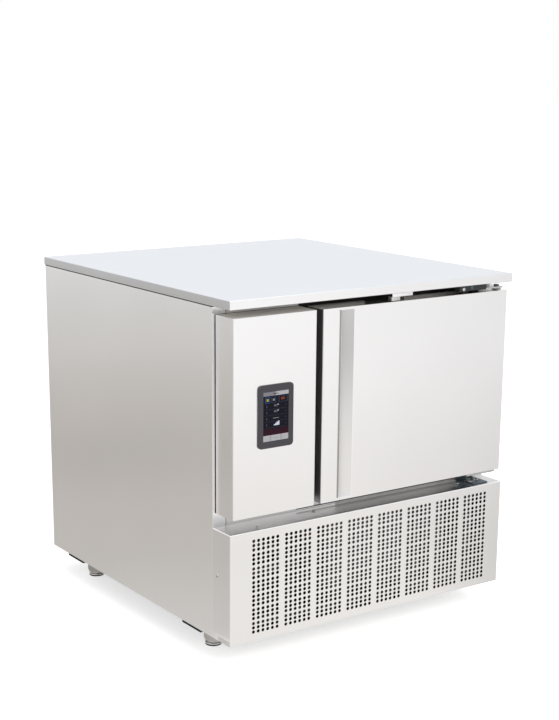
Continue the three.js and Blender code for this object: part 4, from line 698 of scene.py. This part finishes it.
column_lines = cell_lines(HOLES_SHIFT, GROUPS, GROUP_PITCH, COLUMNS, COLUMN_PITCH)
row_lines = cell_lines((grille_low.z + grille_high.z) / 2, SETS, SET_PITCH, ROWS, ROW_PITCH)
xs = [grille_low.x] + column_lines + [grille_high.x]
zs = [grille_low.z] + row_lines + [grille_high.z]

bm = bmesh.new()
bmesh.ops.create_grid(bm, x_segments=len(xs) - 1, y_segments=len(zs) - 1, size=1)
for vert in bm.verts:
    column = round((vert.co.x + 1) / 2 * (len(xs) - 1))
    row = round((vert.co.y + 1) / 2 * (len(zs) - 1))
    vert.co = (xs[column], grille_low.y, zs[row])
print("grid of", len(xs) - 1, "by", len(zs) - 1, "cells")

# %% Cut the round holes
CLOSE = 0.1 * MM


def is_hole(face):
    """Whether a cell of the grid is a hole's cell, and not the sheet between two groups."""
    width = max(v.co.x for v in face.verts) - min(v.co.x for v in face.verts)
    height = max(v.co.z for v in face.verts) - min(v.co.z for v in face.verts)
    return abs(width - COLUMN_PITCH) < CLOSE and abs(height - ROW_PITCH) < CLOSE


cells = [face for face in bm.faces if is_hole(face)]
bmesh.ops.inset_individual(bm, faces=cells, thickness=HOLE_MARGIN, use_even_offset=True)
rims = list({edge for face in cells for edge in face.edges})
bmesh.ops.subdivide_edges(bm, edges=rims, cuts=2)
step = 2 * math.pi / HOLE_SIDES
for face in cells:
    middle = face.calc_center_median()
    for vert in face.verts:
        turn = math.atan2(vert.co.z - middle.z, vert.co.x - middle.x)
        turn = (math.floor(turn / step) + 0.5) * step
        vert.co = middle + Vector((math.cos(turn), 0, math.sin(turn))) * HOLE / 2
bmesh.ops.delete(bm, geom=cells, context="FACES_ONLY")
print("holes", len(cells))

# %% Fold the grille's edges back
def fold_back(bm, on_edge, reach):
    """Extrude the front sheet's boundary edges that pass the test, straight back."""
    rim = [
        edge for edge in bm.edges
        if edge.is_boundary
        and all(on_edge(v) and v.co.y < grille_low.y + TOUCH for v in edge.verts)
    ]
    made = bmesh.ops.extrude_edge_only(bm, edges=rim)["geom"]
    verts = [part for part in made if isinstance(part, bmesh.types.BMVert)]
    bmesh.ops.translate(bm, verts=verts, vec=(0, reach, 0))


fold_back(bm, lambda v: v.co.z > grille_high.z - TOUCH, grille_depth)
fold_back(bm, lambda v: v.co.x < grille_low.x + TOUCH, grille_depth)
fold_back(bm, lambda v: v.co.x > grille_high.x - TOUCH, grille_depth)
fold_back(bm, lambda v: v.co.z < grille_low.z + TOUCH, LOWER_RETURN)
bmesh.ops.remove_doubles(bm, verts=bm.verts, dist=TOUCH)
folds = [
    edge for edge in bm.edges
    if len(edge.link_faces) == 2 and edge.calc_face_angle() > SHARPER_THAN
]
bmesh.ops.bevel(
    bm, geom=folds, offset=BEND, offset_type="OFFSET", segments=BEND_SEGMENTS,
    profile=0.5, affect="EDGES", clamp_overlap=True, material=-1,
)
bmesh.ops.recalc_face_normals(bm, faces=bm.faces)
# The top flange, under the door, gets the darker edge steel: painted shade.
for face in bm.faces:
    middle = face.calc_center_median()
    if middle.z > grille_high.z - TOUCH and middle.y > grille_low.y + BEND:
        face.material_index = 2
grille = make_piece("grille_sheet", bm, front_steel, "cabinet", ["grille_panel"])
# Each outer finish is followed by the one for its inner side and the holes' walls, near black
# there: painted shade.
for finish in (painted_shade, edge_shade_steel, painted_shade):
    grille.data.materials.append(finish)
wall = grille.modifiers.new("wall", "SOLIDIFY")
wall.thickness = SHEET
wall.offset = -1
wall.material_offset = 1
wall.material_offset_rim = 1
flat_shaded(grille)
print("folds", len(folds))

# %% [markdown]
# ## Turned pieces
#
# Feet, hinge pins and screws are round, so each is drawn as half a section and spun about its
# axis. Forty-eight steps keep a foot's outline smooth at any distance the picture shows, and the
# small screws and pins need fewer.

# %% Spin a section
SPIN_STEPS = 48
SCREW_STEPS = 20
PIN_STEPS = 32


def spun(profile, place, axis=(0, 0, 1), steps=SPIN_STEPS):
    """A bmesh of a section of (radius, height) points in mm, spun about Z, then set on an axis."""
    bm = bmesh.new()
    verts = [bm.verts.new((radius * MM, 0, height * MM)) for radius, height in profile]
    edges = [bm.edges.new(pair) for pair in zip(verts, verts[1:])]
    bmesh.ops.spin(
        bm, geom=verts + edges, cent=(0, 0, 0), axis=(0, 0, 1), dvec=(0, 0, 0),
        angle=2 * math.pi, steps=steps, use_merge=True, use_duplicate=False,
    )
    bmesh.ops.remove_doubles(bm, verts=bm.verts, dist=TOUCH)
    bmesh.ops.recalc_face_normals(bm, faces=bm.faces)
    turn = Vector((0, 0, 1)).rotation_difference(Vector(axis)).to_matrix().to_4x4()
    bmesh.ops.transform(bm, matrix=Matrix.Translation(place) @ turn, verts=bm.verts)
    return bm


print("steps in a turn:", SPIN_STEPS)

# %% [markdown]
# ## The feet
#
# Each foot is a dull steel sleeve with a tapered lower edge, darker than the other steel: painted
# shade under the cabinet. Under it stands the adjustable pad: a bright steel disc on a stem, with a
# black rubber sole. The stem's thread is hidden in the sleeve.

# %% Feet
SLEEVE = [
    (6.3, 11), (19.2, 11), (20.6, 12), (22.1, 16.4), (22.5, 18), (22.5, 52.4), (21.9, 53), (0, 53),
    (0, 42), (6.3, 42), (6.3, 11),
]
PAD = [
    (0, 3.4), (18.9, 3.4), (19.5, 4), (19.5, 5.6), (18.9, 6.4), (15.2, 8), (15, 8.4), (15, 10.2),
    (14.5, 10.7), (6, 10.7), (6, 38), (0, 38),
]
SOLE = [(0, 0), (18.4, 0), (19.1, 0.7), (19.1, 3.2), (18.9, 3.4), (0, 3.4)]
for node in [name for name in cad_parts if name.startswith("foot_pad_")]:
    where = node.removeprefix("foot_pad_")
    low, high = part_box(node)
    centre = Vector(((low.x + high.x) / 2, (low.y + high.y) / 2, 0))
    sleeve, pad, sole = [spun(section, centre) for section in (SLEEVE, PAD, SOLE)]
    body = f"foot_{where}"
    stands_for = [f"foot_sleeve_{where}"]
    # The sleeve's darker steel is painted shade under the cabinet.
    make_piece(f"sleeve_{where}", sleeve, sleeve_steel, "cabinet", stands_for)
    make_piece(f"pad_{where}", pad, bright_steel, body, [node])
    make_piece(f"sole_{where}", sole, rubber, body)
print("feet at", [round(c / MM) for c in centre])

# %% [markdown]
# ## Hinge pins and screws
#
# A domed screw is a low cap with a recess for the driver, and both come from one spun section. The
# lower hinge's bracket has a raised ring round its pin. The pins have a head that keeps them in
# place.

# %% Screws
SCREW = [(0, 0), (4.4, 0), (4.6, 0.4), (4.2, 1.3), (3.2, 2.0), (2.0, 2.3), (1.9, 1.0), (0, 1.0)]
# Where each screw's head rests, in mm, and which way it faces.
SCREWS = {
    "flange_screw_left": ((-313.6, -411, 318), (0, 0, 1)),
    "flange_screw_middle": ((-139, -382, 318), (0, 0, 1)),
    "flange_screw_right": ((292, -386, 318), (0, 0, 1)),
    "return_screw_left": ((-397, -378, 212), (-1, 0, 0)),
    "return_screw_right": ((397, -378, 212), (1, 0, 0)),
    "bracket_bolt_left": ((259, -420, 800.5), (0, -1, 0)),
    "bracket_bolt_right": ((284, -420, 803.5), (0, -1, 0)),
    "foot_bolt_right": ((351, -390, 320.4), (0, 0, 1)),
}
DARK_SCREWS = {"bracket_bolt_right"}
for name, (place, axis) in SCREWS.items():
    material = hinge_zinc if name in DARK_SCREWS else bright_steel
    make_piece(name, spun(SCREW, Vector(place) * MM, axis, SCREW_STEPS), material)
print("screws:", len(SCREWS))

# %% Hinge ring and pins
PIN_HEAD = [(0, 0), (3.98, 0), (3.98, 22.3), (6.4, 22.3), (6.4, 24.6), (5.6, 25.3), (0, 25.3)]
KNUCKLE = [(8.5, 0), (13, 0), (13, 2.4), (12, 3.2), (9.5, 3.2), (8.5, 2.4), (8.5, 0)]
knuckle = spun(KNUCKLE, Vector((331, -389, 320.4)) * MM)
knuckle_ring = make_piece("hinge_knuckle", knuckle, bright_steel)

for end, up in [("top", 1), ("bottom", -1)]:
    low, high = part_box(f"hinge_pin_{end}")
    spot = (low + high) / 2
    spot.z = low.z if up > 0 else high.z
    pin = spun(PIN_HEAD, spot, (0, 0, up), PIN_STEPS)
    make_piece(f"pin_{end}", pin, hinge_zinc, "cabinet", [f"hinge_pin_{end}"])
print("ring", len(knuckle_ring.data.vertices), "points")

# %% [markdown]
# ## Wire guards
#
# The fan guards are welded from round wire: rings on two crossed bars. The solids draw them with
# few sides, so each ring is spun again with a round section.

# %% Fan guards
GUARD_RINGS = 3
WIRE = 1.5 * MM  # radius
WIRE_SIDES = 10
RING_STEPS = 64
BARS_BEHIND = 0.8 * MM  # the bars are welded behind the rings
GUARDS = (1, 2)
for number in GUARDS:
    low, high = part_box(f"fan_guard_{number}")
    middle = (low + high) / 2
    reach = (high.z - low.z) / 2 - 2 * WIRE
    bm = bmesh.new()
    for ring in range(1, GUARD_RINGS + 1):
        hoop = bmesh.ops.create_circle(bm, segments=WIRE_SIDES, radius=WIRE)["verts"]
        bmesh.ops.rotate(bm, verts=hoop, matrix=Matrix.Rotation(math.pi / 2, 3, "X"))
        bmesh.ops.translate(bm, verts=hoop, vec=(reach * ring / GUARD_RINGS, 0, 0))
        edges = list({edge for vert in hoop for edge in vert.link_edges})
        bmesh.ops.spin(
            bm, geom=hoop + edges, cent=(0, 0, 0), axis=(0, 0, 1), dvec=(0, 0, 0),
            angle=2 * math.pi, steps=RING_STEPS, use_merge=True, use_duplicate=False,
        )
    for turn in (0, math.pi / 2):
        bar = bmesh.ops.create_cone(
            bm, cap_ends=True, segments=WIRE_SIDES, radius1=WIRE, radius2=WIRE, depth=2 * reach,
        )["verts"]
        bmesh.ops.rotate(bm, verts=bar, matrix=Matrix.Rotation(math.pi / 2, 3, "X"))
        bmesh.ops.rotate(bm, verts=bar, matrix=Matrix.Rotation(turn, 3, "Z"))
        bmesh.ops.translate(bm, verts=bar, vec=(0, 0, BARS_BEHIND))
    bmesh.ops.recalc_face_normals(bm, faces=bm.faces)
    bmesh.ops.rotate(bm, verts=bm.verts, matrix=Matrix.Rotation(math.pi / 2, 3, "Y"))
    bmesh.ops.translate(bm, verts=bm.verts, vec=middle)
    node = f"fan_guard_{number}"
    make_piece(f"wire_guard_{number}", bm, bright_steel, "cabinet", [node])
print("guards:", len(GUARDS))

# %% [markdown]
# ## Round pipes
#
# The solids draw each pipe with few sides. A welded copy is subdivided, which rounds its section
# and its bends. The pipe to the receiver is black like the receiver, painted shade of the machine
# bay, and the others are bare copper.

# %% Pipes
PIPES = {
    "discharge_pipe": copper,
    # Black: painted shade of the machine bay seen through the grille.
    "receiver_pipe": enamel,
    "liquid_pipe": copper,
    "suction_pipe": copper,
}
for node, material in PIPES.items():
    bm = merged_copy(node)
    pipe = make_piece(f"round_{node}", bm, material, "cabinet", [node])
    smooth = pipe.modifiers.new("round", "SUBSURF")
    smooth.levels = 2
    smooth.render_levels = 2
print("pipes:", len(PIPES))

# %% [markdown]
# ## The display's picture
#
# A touch display shows a status bar, a few round symbols, rows with small marks and a bar of
# buttons. Each is a thin flat tile just in front of the glass, in one piece with a material for
# each colour. The shapes are generic and carry no words.

# %% Lit colours
PIXEL = 1.2 * MM  # real pixels are too fine to show


def lit(name, colour, glow):
    """A colour on the display, lit a little from behind, with faint vertical pixel stripes."""
    material, tree, shader, place = new_material(name, 0.25)
    shader.inputs["Specular IOR Level"].default_value = 0.1
    stripes = add(tree, "TexWave", {
        "Vector": place, "Scale": WAVE / PIXEL,
    }, bands_direction="Z")
    tone = add(tree, "Mix", {
        "Factor": stripes.outputs["Fac"], "A": linear(colour),
        "B": [0.9 * c for c in linear(colour)[:3]] + [1.0],
    }, data_type="RGBA")
    tree.links.new(tone.outputs["Result"], shader.inputs["Base Color"])
    shader.inputs["Emission Color"].default_value = linear(colour)
    shader.inputs["Emission Strength"].default_value = glow
    return material


SCREEN_COLOURS = {
    "grey": lit("screen_grey", "#9c9b9e", 0.5),
    "shade": lit("screen_shade", "#77757b", 0.4),
    "pale": lit("screen_pale", "#b4b6c4", 0.5),
    "dim": lit("screen_dim", "#4a4858", 0.3),
    "line": lit("screen_line", "#2f3a4a", 0.25),
    "blue": lit("screen_blue", "#1d4877", 0.3),
    "yellow": lit("screen_yellow", "#a08a3c", 0.3),
    "orange": lit("screen_orange", "#85361c", 0.2),
    "red": lit("screen_red", "#2e0d1c", 0.2),
    "rose": lit("screen_rose", "#6e2240", 0.3),
}
print("colours on the display:", len(SCREEN_COLOURS))

# %% Tiles
glass_low, glass_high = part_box("display_glass")
tile_face = glass_low.y - 0.15 * MM
tile_back = glass_low.y + 0.1 * MM
screen_names = list(SCREEN_COLOURS)
screen = bmesh.new()


def tile(u0, v0, u1, v1, colour):
    """A thin tile between two corners, as shares of the glass's width and height."""
    made = bmesh.ops.create_cube(screen, size=1)["verts"]
    low = Vector((u0, 0, v0))
    high = Vector((u1, 1, v1))
    for vert in made:
        share = [low[i] if vert.co[i] < 0 else high[i] for i in range(3)]
        vert.co = (
            glass_low.x + share[0] * (glass_high.x - glass_low.x),
            tile_face + share[1] * (tile_back - tile_face),
            glass_low.z + share[2] * (glass_high.z - glass_low.z),
        )
    for face in {face for vert in made for face in vert.link_faces}:
        face.material_index = screen_names.index(colour)


print("glass in mm", [round(size / MM) for size in glass_high - glass_low])

# %% Display picture
tile(0, 0.92, 0.5, 1, "shade")
tile(0.5, 0.92, 1, 1, "grey")
tile(0.38, 0.95, 0.6, 0.965, "line")
for left, right, colour in [(0.06, 0.26, "blue"), (0.31, 0.5, "line"), (0.6, 0.96, "line")]:
    tile(left, 0.775, right, 0.785, colour)
    tile(left, 0.89, right, 0.9, colour)
    tile(left, 0.785, left + 0.03, 0.89, colour)
    tile(right - 0.03, 0.785, right, 0.89, colour)
tile(0.12, 0.81, 0.21, 0.865, "yellow")
tile(0.37, 0.815, 0.45, 0.86, "shade")
tile(0.7, 0.82, 0.84, 0.865, "orange")
for row in range(4):
    base = 0.27 + 0.125 * row
    tile(0.06, base, 0.94, base + 0.006, "line")
    tile(0.12, base + 0.04, 0.15, base + 0.085, "dim")
    tile(0.88, base + 0.05, 0.91, base + 0.08, "line")
for base in (0.575, 0.695):
    for left in (0.43, 0.48, 0.53):
        tile(left, base, left + 0.02, base + 0.045, "shade")
    tile(0.56, base + 0.03, 0.61, base + 0.045, "pale")
tile(0.38, 0.455, 0.62, 0.468, "shade")
for step in range(4):
    tile(0.42 + 0.055 * step, 0.31, 0.475 + 0.055 * step, 0.335 + 0.022 * step, "pale")
tile(0, 0.125, 1, 0.25, "red")
tile(0, 0.12, 1, 0.13, "rose")
tile(0.12, 0.175, 0.34, 0.187, "dim")
tile(0.58, 0.2, 0.85, 0.212, "dim")
tile(0, 0, 1, 0.12, "grey")
for left, right in [(0.28, 0.3), (0.7, 0.72)]:
    tile(left, 0.005, right, 0.115, "shade")
for left, right in [(0.1, 0.16), (0.42, 0.58), (0.82, 0.88)]:
    tile(left, 0.045, right, 0.07, "pale")
picture = make_piece("screen_picture", screen, SCREEN_COLOURS["grey"])
for name in screen_names[1:]:
    picture.data.materials.append(SCREEN_COLOURS[name])
print("tiles on the display:", len(picture.data.polygons) // 6)

# %% [markdown]
# ## Floor, background and light
#
# The object stands on a white floor in a white studio. A white that the lamps had to make would
# wash out the pale steel, so the whiteness is given where the camera, a reflection or a
# transmitted ray looks, and the lamps stay at the level at which a colour looks as written.

# %% Helper for what is seen directly
def seen_directly(tree):
    """1 where the camera, a reflection or a transmitted ray looks, and 0 for other light."""
    path = add(tree, "LightPath")
    first = add(tree, "Math", {
        0: path.outputs["Is Camera Ray"], 1: path.outputs["Is Glossy Ray"],
    }, operation="MAXIMUM")
    both = add(tree, "Math", {
        0: first.outputs[0], 1: path.outputs["Is Transmission Ray"],
    }, operation="MAXIMUM")
    return both.outputs[0]


print("kinds of ray that see the white directly:", 3)

# %% Floor
FLOOR_GLOW = 0.6
floor_paint, tree, shader, place = new_material("white_floor", 0.9)
speckle = add(tree, "TexNoise", {"Vector": place, "Scale": 3.0, "Detail": 2.0})
tone = add(tree, "Mix", {
    "Factor": speckle.outputs["Fac"], "A": linear("#f4f4f4"), "B": linear("#eeeeee"),
}, data_type="RGBA")
tree.links.new(tone.outputs["Result"], shader.inputs["Base Color"])
shader.inputs["Emission Color"].default_value = (1, 1, 1, 1)
glow = add(tree, "Math", {0: seen_directly(tree), 1: FLOOR_GLOW}, operation="MULTIPLY")
tree.links.new(glow.outputs[0], shader.inputs["Emission Strength"])
print("floor glow", FLOOR_GLOW)

# %% [markdown]
# ## What the steel mirrors
#
# Polished sheet shows nothing but its surroundings, so a photographer shades the studio around it.
# The main light stands in front. Reflections find the floor there bright, and dimmer to the sides
# and behind. Near the object the floor is warmer and a little darker than the far wall.

# %% The studio in reflections
LIGHT_SIDE = (-0.17, -0.985, 0)  # the main light's direction, in front and a little to the left
SIDE_FROM, SIDE_TO = 0.5, 0.85  # cosines of the angles between which the light falls off
SIDE_LEVEL, FRONT_LEVEL = 0.89, 1.25
SHADE_AT = (-3.3, -3.4, 0)  # a dark corner of the studio, in front and to the left
SHADE_FROM, SHADE_TO, SHADE_LEVEL = 0.6, 2.1, 0.22
SHADE_CENTRE = (-1.3, 1.35, 0)  # the darkest place that the sides mirror
# Distance from the shade's centre in metres, and the colour of the studio there.
STUDIO = [
    (0.2, "#c2beb9"),
    (0.65, "#cfcac5"),
    (1.2, "#d1cdc8"),
    (1.6, "#dcd9d5"),
    (2.4, "#e2e0dd"),
    (3.0, "#e1dfdb"),
    (3.4, "#e5e3e1"),
    (4.0, "#eae8e7"),
    (5.0, "#f4f3f3"),
    (6.2, "#fcfcfc"),
]
STUDIO_REACH = 7.0

towards = add(tree, "VectorMath", {0: place}, operation="NORMALIZE")
facing = add(tree, "VectorMath", {
    0: towards.outputs["Vector"], 1: LIGHT_SIDE,
}, operation="DOT_PRODUCT")
level = add(tree, "MapRange", {
    "Value": facing.outputs["Value"], "From Min": SIDE_FROM, "From Max": SIDE_TO,
    "To Min": SIDE_LEVEL, "To Max": FRONT_LEVEL,
}, interpolation_type="SMOOTHSTEP")
apart = add(tree, "VectorMath", {0: place, 1: SHADE_CENTRE}, operation="DISTANCE")
share = add(tree, "Math", {0: apart.outputs["Value"], 1: STUDIO_REACH}, operation="DIVIDE")
ramp = add(tree, "ValToRGB", {"Fac": share.outputs[0]})
stops = ramp.color_ramp.elements
for number, (distance, colour) in enumerate(STUDIO):
    stop = stops[number] if number < 2 else stops.new(distance / STUDIO_REACH)
    stop.position = distance / STUDIO_REACH
    stop.color = linear(colour)
from_shade = add(tree, "VectorMath", {0: place, 1: SHADE_AT}, operation="DISTANCE")
dimmed = add(tree, "MapRange", {
    "Value": from_shade.outputs["Value"], "From Min": SHADE_FROM, "From Max": SHADE_TO,
    "To Min": SHADE_LEVEL, "To Max": 1.0,
})
strength = add(tree, "Math", {
    0: level.outputs["Result"], 1: dimmed.outputs["Result"],
}, operation="MULTIPLY")
studio = add(tree, "Emission", {"Color": ramp.outputs["Color"], "Strength": strength.outputs[0]})
mirrored = add(tree, "LightPath").outputs["Is Glossy Ray"]
both = add(tree, "MixShader", {0: mirrored, 1: shader.outputs[0], 2: studio.outputs[0]})
tree.links.new(both.outputs[0], tree.nodes["Material Output"].inputs["Surface"])
print("places in the studio:", len(STUDIO))

# %% Lay the floor
FLOOR_REACH = 40  # metres from the middle
bm = bmesh.new()
bmesh.ops.create_grid(bm, x_segments=8, y_segments=8, size=FLOOR_REACH)
floor_mesh = bpy.data.meshes.new("floor")
bm.to_mesh(floor_mesh)
bm.free()
floor_mesh.materials.append(floor_paint)
floor = bpy.data.objects.new("floor", floor_mesh)
scene.collection.objects.link(floor)
floor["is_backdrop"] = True
print("floor", round(floor.dimensions.x), "m across")

# %% [markdown]
# ## The world and its lamps
#
# Three soft lamps and a grey sky light the object from the front, the top and the left. They are
# wide, so shadows stay soft, and weak, so pale steel doesn't burn out. The sky is white where it
# is seen.

# %% World and lamps
WORLD_LIGHT = 0.62
world = bpy.data.worlds.new("studio")
world.use_nodes = True
scene.world = world
tree = world.node_tree
background = tree.nodes["Background"]
background.inputs["Color"].default_value = (1, 1, 1, 1)
level = add(tree, "MapRange", {
    "Value": seen_directly(tree), "To Min": WORLD_LIGHT, "To Max": 1.0,
})
tree.links.new(level.outputs["Result"], background.inputs["Strength"])


def softbox(name, place, aim, size, power):
    """A square area lamp that points at a spot."""
    lamp = bpy.data.lights.new(name, "AREA")
    lamp.size = size
    lamp.energy = power
    holder = bpy.data.objects.new(name, lamp)
    holder.location = place
    holder.rotation_euler = (Vector(aim) - Vector(place)).to_track_quat("-Z", "Y").to_euler()
    scene.collection.objects.link(holder)


softbox("key", (-0.6, -3.4, 2.4), (0, 0, 0.4), 2.2, 22)
softbox("top", (0.4, -0.4, 3.2), (0, 0, 0.4), 2.4, 22)
softbox("fill", (-3.2, -0.4, 1.6), (0, 0, 0.4), 2.0, 8)
print("world light", WORLD_LIGHT)

# %% [markdown]
# ## Finish
#
# The size of the visual model is measured and printed. The visual model must not outgrow the
# CAD model.

# %% Print the visual size
low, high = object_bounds()
print("visual size in mm", [round(size / MM, 1) for size in high - low])
